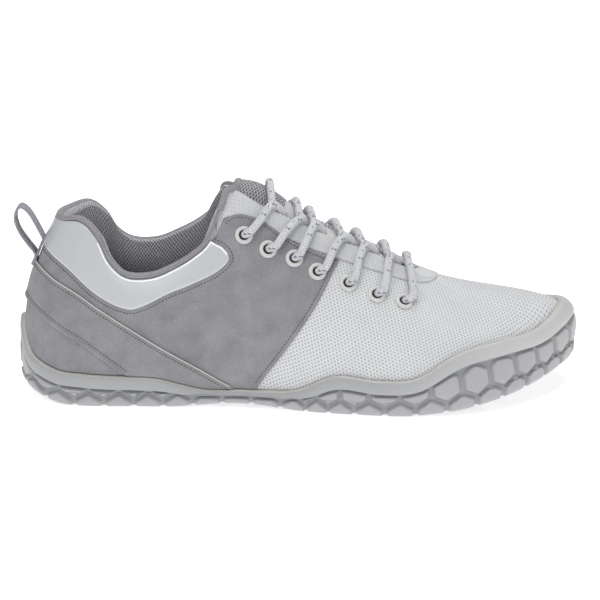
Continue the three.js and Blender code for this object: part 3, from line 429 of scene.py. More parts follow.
def surface_uv(u, h, points):
    """Flat cloth coordinates of the vamp: x along the shoe, and the girth from its middle, which is the rim's
    |y| plus the way down the side curve, or |y| itself over the toe. The rows slant by a share of x, growing
    from nothing at the middle, and the columns lean by a share of the girth."""
    rim = last_point(u, np.ones_like(u))
    gone = run_along(last_point(u[:, :1], np.linspace(0, 1, 61)))
    k = np.clip((h * 60).astype(int), 0, 59)
    f = h * 60 - k
    down = gone[:, -1:] - (np.take_along_axis(gone, k, 1) * (1 - f) + np.take_along_axis(gone, k + 1, 1) * f)
    toe = np.clip((np.abs((u + TOE) % ROUND - TOE) - TOE_CLOTH) / TOE_CLOTH_BLEND, 0, 1)
    toe = toe * toe * (3 - 2 * toe)
    girth = (np.abs(rim[..., 1]) + down) * (1 - toe) + np.abs(points[..., 1]) * toe
    slant = ROW_SLANT * (points[..., 0] - SLANT_PIVOT) * np.clip(girth / SLANT_GIRTH, 0, 1)
    return np.stack([points[..., 0] - COLUMN_LEAN * girth, girth - slant], -1)


UPPER_ROUND, UPPER_UP, UPPER_DOWN = 620, 90, 26
ROW_SLANT, SLANT_PIVOT, SLANT_GIRTH, COLUMN_LEAN = 0.23, 190.0, 40.0, 0.17
TOE_CLOTH, TOE_CLOTH_BLEND = 15.0, 3.5
vamp_mesh = textile("vamp mesh", (219, 220, 222), (168, 170, 173), 1.75, 1.75, 0.39, 0.0001,
                    lattice=OPEN_KNIT)
inner_lining = textile("inner lining", (120, 118, 122), (80, 78, 82), 1.6, 1.2, 0.45, 0.0002)

u_ring = np.linspace(-TOE, TOE, UPPER_ROUND, endpoint=False)
h_up = np.linspace(0, 1, UPPER_UP)
roll = np.linspace(0, np.pi, 7)[1:-1]
h_down = np.linspace(1, 0, UPPER_DOWN)
h_all = np.concatenate([h_up, np.full(5, 1.0), h_down])
out_all = np.concatenate([np.zeros(UPPER_UP), WALL / 2 * np.cos(roll) - WALL / 2, np.full(UPPER_DOWN, -WALL)])
lift_all = np.concatenate([np.zeros(UPPER_UP), WALL / 2 * np.sin(roll), np.zeros(UPPER_DOWN)])
U, H = np.meshgrid(u_ring, h_all, indexing="ij")
grid = on_last(U, H, out_all) + lift_all[:, None] * np.array([0, 0, 1.0])
Uw, Hw = np.meshgrid(np.append(u_ring, TOE), np.append(h_all, 0.0), indexing="ij")
# The wall's inner face is lining, but for the strip beside the throat, which is the mesh itself.
inside_face = (np.arange(len(h_all)) >= UPPER_UP + 3)[None, :]
beside_throat = (np.abs(u_ring) > 10.7)[:, None] & (h_all > 0.75)[None, :]
part = np.where(inside_face & ~beside_throat, 1, 0)
upper_uv = surface_uv(Uw, Hw, last_point(Uw, Hw))
upper = surface_mesh("upper_shell", grid, True, True, (vamp_mesh, inner_lining), upper_uv, part)
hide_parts("upper")

# Sole
# The moulded rubber sole: a thin plate with hexagonal lugs, and a rand that wraps the heel and the toe.
# The rand has a smooth band with a rounded lip at its top, and a honeycomb of raised hexagons below it.
RAND_FOOT, RAND_LIP, EDGE_HEIGHT, EDGE_TUCK = 3.8, 2.3, 3.6, 3.2
LUG_DEPTH, LUG_PITCH, UNDER_PITCH, GROOVE = 2.8, 14.9, 18.0, 1.7
LUG_START, LUG_STEP, LUG_STEP_FROM, LUG_STEP_TO, LUGS_PER_SIDE = LUG_PITCH / 2, 7.3, 150.0, 185.0, 22.5
SIDE_RELIEF, LUG_SLOPE, NOTCH, BAND_SWELL = 2.1, 1.1, 0.8, 0.75


def hexagons(a, b, pitch):
    """Depth inside the nearest hexagon of a honeycomb with flat sides across a: half the pitch less the
    hexagon's own distance, which is the larger of |a| and half |a| plus 0.866 |b|."""
    best = np.full(a.shape, -1e9)
    for da, db in ((0.0, 0.0), (0.5, math.sqrt(3) / 2)):
        x = a - (np.round(a / pitch - da) + da) * pitch
        row = pitch * math.sqrt(3)
        y = b - (np.round(b / row - db / math.sqrt(3)) + db / math.sqrt(3)) * row
        away = np.maximum(np.abs(x), np.abs(x) / 2 + np.abs(y) * math.sqrt(3) / 2)
        best = np.maximum(best, pitch / 2 - away)
    return best


def ring_by_length(count):
    """Section numbers at even steps of the outline's length from the heel, those lengths, and the whole."""
    u = np.linspace(0, ROUND, 4001)
    gone = run_along(last_point(u, 0.0 * u))
    at = np.linspace(0, gone[-1], count, endpoint=False)
    return np.interp(at, gone, u), at, gone[-1]


def outward_of(u):
    """The level way out of the shoe at the foot of a section."""
    step = last_point(u + 0.05, 0.0 * u) - last_point(u - 0.05, 0.0 * u)
    out = np.stack([step[..., 1], -step[..., 0], 0 * u], -1)
    return out / np.linalg.norm(out, axis=-1, keepdims=True)


def lug_place(length, half):
    """Place in the lug pattern of a length from the heel: a groove at the heel, a lug's edge at the toe, and
    a smooth step ahead by nearly half a pitch at the arch."""
    t = np.clip((length - LUG_STEP_FROM) / (LUG_STEP_TO - LUG_STEP_FROM), 0, 1)
    stretch = half + LUG_START + LUG_STEP - LUGS_PER_SIDE * LUG_PITCH
    return (length + LUG_START + LUG_STEP * t * t * (3 - 2 * t)
            - stretch * np.clip((length - LUG_STEP_TO) / (half - LUG_STEP_TO), 0, 1))


def lug_relief(place, w, band, row):
    """How far the rubber stands out, from 0 in a groove to 1 on a hexagon or on the smooth band above them.
    w is the height above the ground edge, and row that of the first row's middle."""
    inside = hexagons(place, w - row, LUG_PITCH)
    hexes = np.clip((inside - GROOVE / 2) / LUG_SLOPE, 0, 1)
    smooth = np.clip((w - band) / 0.7, 0, 1)
    groove = np.clip((band - 0.5 - w) / 0.7, 0, 1)
    return np.maximum(hexes * groove, smooth)


def band_swell(w, low, top):
    """The smooth band's swell: a half ellipse over the heights between its lower edge and its top."""
    return BAND_SWELL * np.sqrt(np.clip(1 - ((w - (top + low) / 2) / ((top - low) / 2)) ** 2, 0, 1))


WALL_ROUND = 1250
u_wall, s_wall, outline_length = ring_by_length(WALL_ROUND)
lateral_half = np.interp(TOE, u_wall, s_wall)
half = np.where(u_wall < TOE, lateral_half, outline_length - lateral_half)[:, None]
place = lug_place(np.minimum(s_wall, outline_length - s_wall)[:, None], half)
foot = last_point(u_wall, 0 * u_wall)
out = outward_of(u_wall)
ground = ground_line(foot[:, 0])
first_row = -0.6 + 3.2 * np.clip((foot[:, :1] - 175) / 80, 0, 1)

# Above the foot of the last, the wall follows its side curves up to the rand's top.
UPPER_ROWS = 44
share = np.linspace(0, 1, UPPER_ROWS)
side_h = share_up(u_wall, blend(RANDS, u_wall))[:, None] * share
side_u = np.repeat(u_wall[:, None], UPPER_ROWS, 1)
side_on, side_n = last_point(side_u, side_h), last_normal(side_u, side_h)
height_up = side_on[..., 2] - ground[:, None]
top_up = height_up[:, -1:]
band = top_up - np.clip(0.42 * top_up, 3.2, 6.8)
full = RAND_LIP + (RAND_FOOT - RAND_LIP) * np.clip(1 - share / 0.9, 0, 1)
relief = lug_relief(place, height_up, band, first_row)
lip = np.sqrt(1 - (1 - np.clip((top_up - height_up) / 1.5, 0, 1)) ** 2)
bead = band_swell(height_up, band, top_up)
thick = (full - SIDE_RELIEF * (1 - relief)) * (0.25 + 0.75 * lip) + bead
outer = side_on + side_n * (CLEAR + thick)[..., None]

# Below it, the wall is upright, and turns under at the ground edge.
lower_w = np.linspace(EDGE_HEIGHT, foot[:, 2] - ground, 13, axis=1)[:, 1:-1]
lower_relief = lug_relief(place, lower_w, band, first_row)
lower_bead = band_swell(lower_w, band, top_up)
lower_reach = CLEAR + RAND_FOOT - SIDE_RELIEF * (1 - lower_relief) + lower_bead
lower = foot[:, None] + out[:, None] * lower_reach[..., None]
lower[..., 2] = ground[:, None] + lower_w
edge_turn = np.linspace(0, np.pi / 2, 9)
under_w = EDGE_HEIGHT - (EDGE_HEIGHT + 1.6) * (1 - edge_turn / (np.pi / 2)) + 0 * ground[:, None]
edge_relief = lug_relief(place, under_w, band, first_row)
reach = RAND_FOOT - EDGE_TUCK * (1 - np.sin(edge_turn)) - SIDE_RELIEF * (1 - edge_relief) * np.sin(edge_turn)
rise = EDGE_HEIGHT * (1 - np.cos(edge_turn)) + NOTCH * (1 - edge_relief) * np.cos(edge_turn)
edge = foot[:, None] + out[:, None] * (CLEAR + reach)[..., None]
edge[..., 2] = ground[:, None] + rise

inner_share = np.linspace(1, 0, 5)
inner = on_last(np.repeat(u_wall[:, None], 5, 1), side_h[:, -1:] * inner_share, CLEAR)
bottom = foot[:, None] - out[:, None] * np.array([[-0.5], [2.0]])[None]
bottom[..., 2] = np.array([floor_line(foot[:, 0]), ground + LUG_DEPTH]).T
wall_grid = np.concatenate([edge, lower, outer, inner, bottom], 1)
# The rubber's own UV: across it the tone, from a groove (0) over a lug to the smooth band (1), and up it the
# way below the top. The low tone of the grooves paints shade into them.
LUG_TONE = 0.55
tone = np.concatenate([edge_relief, lower_relief, relief, np.ones((WALL_ROUND, 7))], 1)
height = np.concatenate([under_w, lower_w, height_up], 1)
tone[:, :height.shape[1]] *= LUG_TONE + (1 - LUG_TONE) * np.clip((height - band) / 1.0, 0, 1)
below_top = np.pad(top_up - height, ((0, 0), (0, 7)), constant_values=99.0)
wall_uv = np.pad(np.stack([tone * 1000, below_top], -1), ((0, 1), (0, 1), (0, 0)), mode="wrap")


def rubber_material(name):
    """Moulded rubber. The tone in its UV picks the colour of groove, lug or band, with painted shade in the
    grooves;
    the band has painted light, paler towards the toe, a pale line follows the top edge, and a fine grain
    roughens it."""
    material = plain_material(name, (190, 191, 193), 0.42, Specular_IOR_Level=0.45)
    tree = material.node_tree
    split = tree.nodes.new("ShaderNodeSeparateXYZ")
    tree.links.new(coordinates(tree, "UV"), split.inputs[0])
    edge_line = math_node(tree, "MULTIPLY", math_node(tree, "SUBTRACT", EDGE_LINE, split.outputs[1]),
                          2500.0, clamp=True)
    smear = placed(tree, GRAIN, coordinates(tree, "Object"), Scale=110.0, Detail=4.0)
    fine = placed(tree, GRAIN, coordinates(tree, "Object"), Scale=2600.0, Detail=2.0)
    faint = math_node(tree, "MULTIPLY", smear.outputs["Value"], 0.3)
    shade = math_node(tree, "ADD", split.outputs[0], faint, clamp=True)
    # Painted shade: a groove is darker than the top of a lug.
    groove_shade_to_lug = math_node(tree, "MULTIPLY", shade, 1.8, clamp=True)
    on_band = math_node(tree, "MULTIPLY", math_node(tree, "SUBTRACT", shade, LUG_TONE), 2.2, clamp=True)
    along = tree.nodes.new("ShaderNodeSeparateXYZ")
    tree.links.new(coordinates(tree, "Object"), along.inputs[0])
    # Painted light: the band grows lighter towards the toe.
    toe_painted_light = math_node(tree, "MULTIPLY", math_node(tree, "SUBTRACT", along.outputs[0], TOE_LIGHT_FROM),
                       TOE_LIGHT_RATE, clamp=True)
    band_painted_light = mixed(tree, toe_painted_light, (168, 169, 171), (198, 198, 199))
    body = mixed(tree, on_band, mixed(tree, groove_shade_to_lug, (158, 159, 162), (172, 172, 175)), band_painted_light)
    shader = tree.nodes["Principled BSDF"]
    tree.links.new(mixed(tree, edge_line, body, (198, 196, 189)), shader.inputs["Base Color"])
    dulled = math_node(tree, "ADD", 0.42, math_node(tree, "MULTIPLY", fine.outputs["Value"], 0.3))
    tree.links.new(dulled, shader.inputs["Roughness"])
    raised(tree, fine.outputs["Value"], 0.00012)
    return material


EDGE_LINE, TOE_LIGHT_FROM, TOE_LIGHT_RATE = 0.0007, 0.04, 14.0
rubber = rubber_material("grey rubber")
rand = surface_mesh("sole_rand", wall_grid, True, True, (rubber,), wall_uv)
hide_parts("sole")

# The tread is a plate between the inner floor and the hexagonal lugs, out to the rand's foot. Both of its
# sides have the same sections, so that they meet in one line along the middle.
TREAD_ROUND, TREAD_IN = 640, 46
u_side, _, _ = ring_by_length(TREAD_ROUND)
u_side = np.append(u_side[u_side < TOE - 0.02], TOE)
u_tread = np.concatenate([u_side, ROUND - u_side[-2:0:-1]])
s_tread = np.interp(u_tread, np.append(u_wall, ROUND), np.append(s_wall, outline_length))
tread_half = np.where(u_tread < TOE, lateral_half, outline_length - lateral_half)
tread_place = lug_place(np.minimum(s_tread, outline_length - s_tread), tread_half)[:, None]
tread_edge = last_point(u_tread, 0 * u_tread) + outward_of(u_tread) * 0.8
across_edge = last_point(-u_tread, 0 * u_tread) + outward_of(-u_tread) * 0.8
spine = (tread_edge + across_edge) / 2
radial = np.linspace(0, 1, TREAD_IN)[None, :, None]
plate = spine[:, None] * (1 - radial) + tread_edge[:, None] * radial
from_edge = np.linalg.norm(plate - tread_edge[:, None], axis=-1)
inside = hexagons(plate[..., 0], plate[..., 1], UNDER_PITCH)
lug = np.clip((inside - 1.2) / 0.9, 0, 1) * np.clip((from_edge - 5.0) / 0.8, 0, 1)
tread_row = np.interp(u_tread, u_wall, first_row[:, 0])[:, None]
side_lug = lug_relief(tread_place, -1.6 - from_edge, 99.0, tread_row) * np.clip((5.6 - from_edge) / 0.8, 0, 1)
groove_depth = NOTCH + (LUG_DEPTH - NOTCH) * np.clip(from_edge / 5.0, 0, 1)
tread = plate.copy()
tread[..., 2] = ground_line(plate[..., 0]) + groove_depth * (1 - np.maximum(lug, side_lug))
top_side = plate[:, ::-9].copy()
top_side[..., 2] = floor_line(top_side[..., 0])
tread_grid = np.concatenate([tread, top_side], 1)
# The tread's grooves take a low tone too, so they carry the same painted shade.
full_tone = 1000 * LUG_TONE
tread_tone = np.pad(full_tone * np.maximum(lug, side_lug), ((0, 0), (0, top_side.shape[1])),
                    constant_values=full_tone)
tread_uv = np.pad(np.stack([tread_tone, 99.0 + 0 * tread_tone], -1), ((0, 1), (0, 1), (0, 0)), mode="wrap")
sole_tread = surface_mesh("sole_tread", tread_grid, True, False, (rubber,), tread_uv)
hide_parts("sole")

# Quarter
# The grey nubuck side panel runs round the heel from one front seam to the other, under the strap and the
# patch. It is glued to the upper, with a cut edge and a row of dark stitches just inside it.
STRAP_TOP = [(-0.05, 0.72), (0.027, 0.69), (0.063, 0.64), (0.1, 0.588), (0.148, 0.496), (0.203, 0.399),
             (0.258, 0.304), (0.319, 0.208), (0.358, 0.145), (0.389, 0.097), (0.43, 0.02)]
STRAP_LOW = [(-0.05, 0.52), (0.008, 0.506), (0.026, 0.48), (0.064, 0.411), (0.1, 0.353), (0.134, 0.286),
             (0.168, 0.213), (0.186, 0.171), (0.23, 0.06)]
PATCH_EDGE = [(-0.05, 0.8), (0.038, 0.778), (0.062, 0.75), (0.093, 0.691), (0.121, 0.619), (0.155, 0.552),
              (0.183, 0.52), (0.203, 0.515), (0.231, 0.545), (0.265, 0.595), (0.307, 0.642),
              (0.348, 0.695), (0.372, 0.749), (0.375, 0.788), (0.365, 0.824), (0.345, 0.853), (0.325, 0.9)]
QUARTER_FRONT = [(0.422, 0.103), (0.443, 0.189), (0.47, 0.294), (0.505, 0.436), (0.535, 0.568),
                 (0.559, 0.69), (0.571, 0.752), (0.547, 0.772), (0.503, 0.824), (0.475, 0.871),
                 (0.436, 0.946), (0.414, 0.975), (0.39, 0.988), (0.369, 0.969), (0.357, 0.922),
                 (0.35, 0.875), (0.338, 0.85)]
PANEL_BASE, PANEL = 0.2, 1.0
SEAM_SHOW, EDGE_ROUND, PANEL_SEARCH = 0.15, 1.1, 16.5


def spline_rows(rows, t):
    """Rows of a table, or points of a line, at places between them: the spline with its ends carried on."""
    p = np.concatenate([2 * rows[:1] - rows[1:2], rows, 2 * rows[-1:] - rows[-2:-1]])
    k = np.minimum(t.astype(int), len(rows) - 2)
    return spline_step(p[k], p[k + 1], p[k + 2], p[k + 3], (t - k)[:, None])


def smooth_line(points, count=120):
    """A smooth line of so many points through a list of points."""
    rows = np.array(points)
    return spline_rows(rows, np.linspace(0, len(rows) - 1 - 1e-9, count))


def inside_outline(outline, points):
    """Whether points of the last lie inside a side view outline: an odd number of its edges lie ahead."""
    a, z = points[..., 0] / LAST_LENGTH, points[..., 2] / INSTEP_HEIGHT
    inside = np.zeros(a.shape, bool)
    for (a0, z0), (a1, z1) in zip(outline, np.roll(outline, -1, 0)):
        if z0 != z1:
            inside ^= ((z0 > z) != (z1 > z)) & (a < a0 + (a1 - a0) * (z - z0) / (z1 - z0))
    return inside


def panel_borders(outline, u, rim_gap=0.5):
    """Lower and upper height share of a panel on each side curve, between the rand's top and the rim, and
    whether the curve meets the panel. One that misses it gives two equal shares."""
    low = share_up(u, blend(RANDS, u) + SEAM_SHOW)
    high = share_up(u, rim_gap + 0 * u, from_rim=True)
    h = np.linspace(0, 1, 181)
    within = lambda hh: (inside_outline(outline, last_point(u[:, None], hh))
                         & (hh >= low[:, None]) & (hh <= high[:, None]))
    seen = within(np.broadcast_to(h, (len(u), len(h))))
    ends = []
    for k, step in ((seen.argmax(1), -1), (len(h) - 1 - seen[:, ::-1].argmax(1), 1)):
        good, bad = h[k].astype(float), np.clip(h[k] + step / 180, 0, 1)
        for _ in range(14):
            middle = (good + bad) / 2
            ok = within(middle[:, None])[:, 0]
            good, bad = np.where(ok, middle, good), np.where(ok, bad, middle)
        ends.append(good)
    missed = ~seen.any(1)
    middle = (low + high) / 2
    return np.where(missed, middle, ends[0]), np.where(missed, middle, ends[1]), ~missed


def panel_end(outline, start, end):
    """The section at which a panel ends, between one that it reaches and one that it misses."""
    for _ in range(22):
        middle = (start + end) / 2
        _, _, met = panel_borders(outline, np.array([middle]))
        start, end = (middle, end) if met[0] else (start, middle)
    return start


def panel_grid(u, low, high, base, thickness, middle_rows=36, edge_round=EDGE_ROUND):
    """Rings of a panel that lies on the last: up its outer face with rounded edges, and back down its inner
    face. Its thickness at a distance d from an edge is T sqrt(1 - (1 - d/r)^2), and T beyond r."""
    length = np.linalg.norm(last_point(u, high) - last_point(u, low), axis=-1)
    edge = np.array([0, 0.05, 0.14, 0.3, 0.5, 0.75, 1.0]) * edge_round
    scale = np.minimum(1, length / (2.2 * edge_round) + 1e-6)
    near = edge[None, :] * scale[:, None]
    middle = np.linspace(0, 1, middle_rows + 2)[1:-1]
    share = near / np.maximum(length, 1e-6)[:, None]
    share = np.minimum(share, 0.46)
    span = share[:, -1:] + (1 - 2 * share[:, -1:]) * middle[None, :]
    s = np.concatenate([share, span, 1 - share[:, ::-1]], 1)
    d = np.minimum(s, 1 - s) * length[:, None]
    t = thickness * np.sqrt(1 - (1 - np.clip(d / edge_round, 0, 1)) ** 2)
    h = low[:, None] + (high - low)[:, None] * s
    uu = np.repeat(u[:, None], s.shape[1], 1)
    return np.concatenate([on_last(uu, h, base + t), on_last(uu, h, base)[:, ::-1]], 1)


def panel(name, outline, node, slot, material, base, thickness, count, rim_gap=0.5, **shape):
    """A panel round the heel within a side view outline; returns its sections and borders for the seams."""
    left, right = (panel_end(outline, 0.0, end) for end in (-PANEL_SEARCH, PANEL_SEARCH))
    u = (left + right) / 2 + (right - left) / 2 * -np.cos(np.linspace(0, np.pi, count))
    low, high, _ = panel_borders(outline, u, rim_gap)
    grid = panel_grid(u, low, high, base, thickness, **shape)
    piece = surface_mesh(name, grid, False, True, (material,))
    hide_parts(node)
    return u, low, high


def nubuck_material(name, colour, dark):
    """Brushed leather: mottled grey with a fine uneven nap and shallow pores."""
    material = plain_material(name, colour, 0.82, Sheen_Weight=0.12)
    tree = material.node_tree
    place = coordinates(tree, "Object")
    mottle = placed(tree, GRAIN, place, Scale=95.0, Detail=5.0)
    nap = placed(tree, GRAIN, place, Scale=1100.0, Detail=4.0)
    shade = math_node(tree, "ADD", math_node(tree, "MULTIPLY", mottle.outputs["Value"], 1.6),
                      math_node(tree, "MULTIPLY", nap.outputs["Value"], 1.1))
    colour = mixed(tree, math_node(tree, "ADD", shade, 0.5, clamp=True), dark, colour)
    tree.links.new(colour, tree.nodes["Principled BSDF"].inputs["Base Color"])
    hollows = math_node(tree, "MULTIPLY", mottle.outputs["Value"], 0.8)
    raised(tree, math_node(tree, "ADD", nap.outputs["Value"], hollows), 0.00022)
    return material


nubuck = nubuck_material("grey nubuck", (152, 151, 155), (125, 124, 128))
strap_line = smooth_line(STRAP_TOP)
strap_low_line = smooth_line(STRAP_LOW)
quarter_front = smooth_line(QUARTER_FRONT, 160)
quarter_outline = np.concatenate([quarter_front, [(0.30, 1.2), (-0.06, 1.2)], strap_line[:-12] - (0, 0.02)])
quarter_u, quarter_low, quarter_high = panel("quarter_panel", quarter_outline, "quarter", "nubuck", nubuck,
                                             PANEL_BASE, PANEL, count=620)

# Heel counter
# A second nubuck panel covers the heel below the strap, down to the rand, of the same leather as the quarter.
# Its upper edge is tucked under the strap.
counter_outline = np.concatenate([strap_low_line + (0, 0.02), [(0.23, -0.1), (-0.05, -0.1)]])
panel("heel_counter_panel", counter_outline, "heel_counter", "nubuck", nubuck, PANEL_BASE, PANEL, count=260)

# Heel strap
# A wide nubuck strap slants over the heel from the pull loop down to the rand on both sides.
# Its top edge carries a cream piping and its lower edge is folded into a roll; both are stitched.
STRAP_BASE, STRAP = 1.15, 1.25
strap_outline = np.concatenate([strap_line, strap_low_line[::-1]])
strap_u, strap_bottom, strap_upper = panel("heel_strap_panel", strap_outline, "heel_strap", "nubuck", nubuck,
                                           STRAP_BASE, STRAP, count=420)


def edge_path(u, h, out, inset):
    """A line beside a border on the last: its points moved sideways by an inset, with their normals."""
    p = on_last(u, h, out)
    n = last_normal(u, h)
    t = np.gradient(p, axis=0)
    t /= np.linalg.norm(t, axis=1)[:, None] + 1e-12
    side = np.cross(n, t)
    return p + side * inset, n


def even_path(points, normals, spacing):
    """The same line with points at an even spacing along it."""
    gone = run_along(points)
    at = np.arange(spacing / 2, gone[-1], spacing)
    pick = lambda v: np.stack([np.interp(at, gone, v[:, k]) for k in range(3)], 1)
    return pick(points), pick(normals)


def tube(name, points, normals, radius, material, node, sides=10, flat=1.0):
    """A tube along a line: a ring at P is P + r (flat N cos a + B sin a), with closed rounded ends."""
    t = np.gradient(points, axis=0)
    t /= np.linalg.norm(t, axis=1)[:, None]
    n = normals - t * (normals * t).sum(1)[:, None]
    n /= np.linalg.norm(n, axis=1)[:, None]
    b = np.cross(t, n)
    gone = run_along(points)
    end = np.minimum(gone, gone[-1] - gone)
    r = radius * np.sqrt(1 - (1 - np.clip(end / radius, 0, 1)) ** 2)
    a = np.linspace(0, 2 * np.pi, sides, endpoint=False)
    grid = points[:, None] + r[:, None, None] * (
        n[:, None] * np.cos(a)[None, :, None] * flat + b[:, None] * np.sin(a)[None, :, None])
    girth = np.linspace(0, 2 * np.pi * radius, sides + 1)
    uv = np.stack(np.broadcast_arrays(gone[:, None], girth[None, :]), -1)
    piece = surface_mesh(name, grid, False, True, (material,), uv)
    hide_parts(node)


def stitch_row(points, normals, pitch=1.75, length=1.15, width=0.26):
    """Small capsules in a row: each spans a length about its place, thin across and nearly flat."""
    place, n = even_path(points, normals, pitch)
    t = np.gradient(place, axis=0)
    t /= np.linalg.norm(t, axis=1)[:, None]
    n /= np.linalg.norm(n, axis=1)[:, None]
    b = np.cross(t, n)
    s = np.array([-1, -0.85, 0, 0.85, 1])
    r = np.sqrt(np.clip(1 - np.abs(s) ** 6, 0, 1))
    a = np.linspace(0, 2 * np.pi, 6, endpoint=False)
    return (place[:, None, None] + t[:, None, None] * (s * length / 2)[None, :, None, None]
            + n[:, None, None] * (r[:, None] * np.cos(a) * width * 0.8)[None, :, :, None]
            + b[:, None, None] * (r[:, None] * np.sin(a) * width)[None, :, :, None])


def stitches(name, rows, material, node):
    """All stitch rows of one thread as a single mesh of separate closed capsules."""
    grids = np.concatenate(rows)
    copies, nu, nv = grids.shape[:3]
    i, j = np.meshgrid(np.arange(nu - 1), np.arange(nv), indexing="ij")
    quad = [i * nv + j, (i + 1) * nv + j, (i + 1) * nv + (j + 1) % nv, i * nv + (j + 1) % nv]
    faces = np.stack(quad, -1).reshape(-1, 4)
    faces = (faces[None] + (np.arange(copies) * nu * nv)[:, None, None]).reshape(-1, 4)
    mesh = bpy.data.meshes.new(name)
    mesh.from_pydata(((grids.reshape(-1, 3) - FOOTPRINT_CENTRE) / 1000).tolist(), [], faces.tolist())
    shell = bmesh.new()
    shell.from_mesh(mesh)
    bmesh.ops.remove_doubles(shell, verts=shell.verts, dist=2e-6)
    bmesh.ops.recalc_face_normals(shell, faces=shell.faces)
    shell.to_mesh(mesh)
    shell.free()
    mesh.polygons.foreach_set("use_smooth", np.ones(len(mesh.polygons), bool))
    mesh.materials.append(material)
    piece = bpy.data.objects.new(name, mesh)
    scene.collection.objects.link(piece)
    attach(piece, "root")
    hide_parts(node)


piping = plain_material("pale piping", (198, 196, 189), 0.6)
thread = plain_material("dark thread", (78, 76, 82), 0.7)
above_rand = strap_upper > share_up(strap_u, blend(RANDS, strap_u) + 1.0)
strap_edge, strap_n = edge_path(strap_u[above_rand], strap_upper[above_rand], STRAP_BASE + 0.9, 0.1)
strap_edge, strap_n = even_path(strap_edge, strap_n, 0.8)
tube("strap_piping", strap_edge, strap_n, 0.36, piping, "heel_strap")
folded = strap_bottom > share_up(strap_u, blend(RANDS, strap_u) + 1.0)
fold_edge, fold_n = edge_path(strap_u[folded], strap_bottom[folded], STRAP_BASE + 0.6, 0.5)
fold_edge, fold_n = even_path(fold_edge, fold_n, 0.8)
tube("strap_fold", fold_edge, fold_n, 1.1, nubuck, "heel_strap", sides=14)
strap_rows = [
    stitch_row(*edge_path(strap_u[above_rand], strap_upper[above_rand], STRAP_BASE + STRAP, -1.7)),
    stitch_row(*edge_path(strap_u[folded], strap_bottom[folded], STRAP_BASE + STRAP, 2.4)),
]
stitches("strap_stitches", strap_rows, thread, "heel_strap")

# Collar patch
# A glossy patent patch is welded round the collar from heel to instep. The pale bead along its upper edge
# is a painted highlight for the bright line its rounded edge reflects. Dark stitches on the quarter follow
# the patch.
PATCH_BASE, PATCH = 1.15, 1.15
patch_line = smooth_line(PATCH_EDGE, 180)
patch_outline = np.concatenate([patch_line, [(0.325, 1.3), (-0.06, 1.3)]])
patent = plain_material("patent foil", (196, 199, 202), 0.2, Coat_Weight=1.0, Coat_Roughness=0.04)
tree = patent.node_tree
wave = placed(tree, GRAIN, coordinates(tree, "Object"), Scale=55.0, Detail=1.0)
raised(tree, wave.outputs["Value"], 0.0004)
patch_u, patch_low, patch_high = panel("collar_patch_panel", patch_outline, "collar_patch", "patent", patent,
                                       PATCH_BASE, PATCH, count=460, rim_gap=1.3, edge_round=1.3)


def turned_path(u, low, high, out, inset):
    """A line round a panel's front tip at an inset: along its lower border from the heel and back along its
    upper border, as far as that lies clear of the rim."""
    back = (high < share_up(u, 1.8 + 0 * u, from_rim=True))[::-1]
    uu, hh = np.concatenate([u, u[::-1][back]]), np.concatenate([low, high[::-1][back]])
    gone = run_along(on_last(uu, hh, out))
    at = np.arange(0, gone[-1], 0.9)
    return edge_path(np.interp(at, gone, uu), np.interp(at, gone, hh), out, inset)


# Painted highlight: a near-white glossy tube stands in for the reflected line along the patch's upper edge.
painted_highlight_bead = plain_material("painted highlight bead", (252, 253, 254), 0.2, Coat_Weight=1.0, Coat_Roughness=0.04)
patch_rows = []
for side, word in ((1, "outer"), (-1, "inner")):
    shining = patch_u * side > 3.0
    order = np.argsort(np.abs(patch_u[shining]))
    bead, bead_n = edge_path(patch_u[shining][order], patch_high[shining][order],
                             PATCH_BASE + PATCH - 0.1, -0.8 * side)
    bead, bead_n = even_path(bead, bead_n, 0.8)
    tube(f"patch_painted_highlight_{word}", bead, bead_n, 0.42, painted_highlight_bead, "collar_patch")
    half_patch = patch_u * side > 0.3
    order = np.argsort(np.abs(patch_u[half_patch]))
    borders = (v[half_patch][order] for v in (patch_u, patch_low, patch_high))
    patch_rows.append(stitch_row(*turned_path(*borders, PANEL_BASE + PANEL, -1.9 * side)))
stitches("patch_stitches", patch_rows, thread, "collar_patch")

# Quarter seams
# The quarter's own stitches run down its front seam and along its top edge beside the throat.
rows = []
for side in (1, -1):
    front = (quarter_u * side > 9.9) & (quarter_high - quarter_low > 0.03)
    for border, sign in ((quarter_low, 1), (quarter_high, -1)):
        free = front & (border > share_up(quarter_u, blend(RANDS, quarter_u) + 2.0)) & (border < 0.985)
        if free.sum() > 8:
            rows.append(stitch_row(*edge_path(quarter_u[free], border[free], PANEL_BASE + PANEL, 2.0 * sign)))
stitches("quarter_stitches", rows, thread, "quarter")

# Throat band
# A white ribbed band edges the throat on both sides and round its toe end, under the quarter's top edge.
# At the toe end, a smooth white tab is bonded over it.
BAND_WIDTH, BAND_BASE, BAND, CORNER_RISE = 11.0, 0.05, 0.75, 3.8
band_u = np.linspace(9.7, ROUND - 9.7, 560)
band_low = share_up(band_u, BAND_WIDTH + 0 * band_u, from_rim=True)
girth_there = run_along(last_point(band_u[:, None], np.linspace(0, 1, 41)))[:, -1]
corner = np.exp(-((band_u - 11.15) / 0.55) ** 2)
band_high = 1 + (CORNER_RISE * corner - 0.1) / girth_there


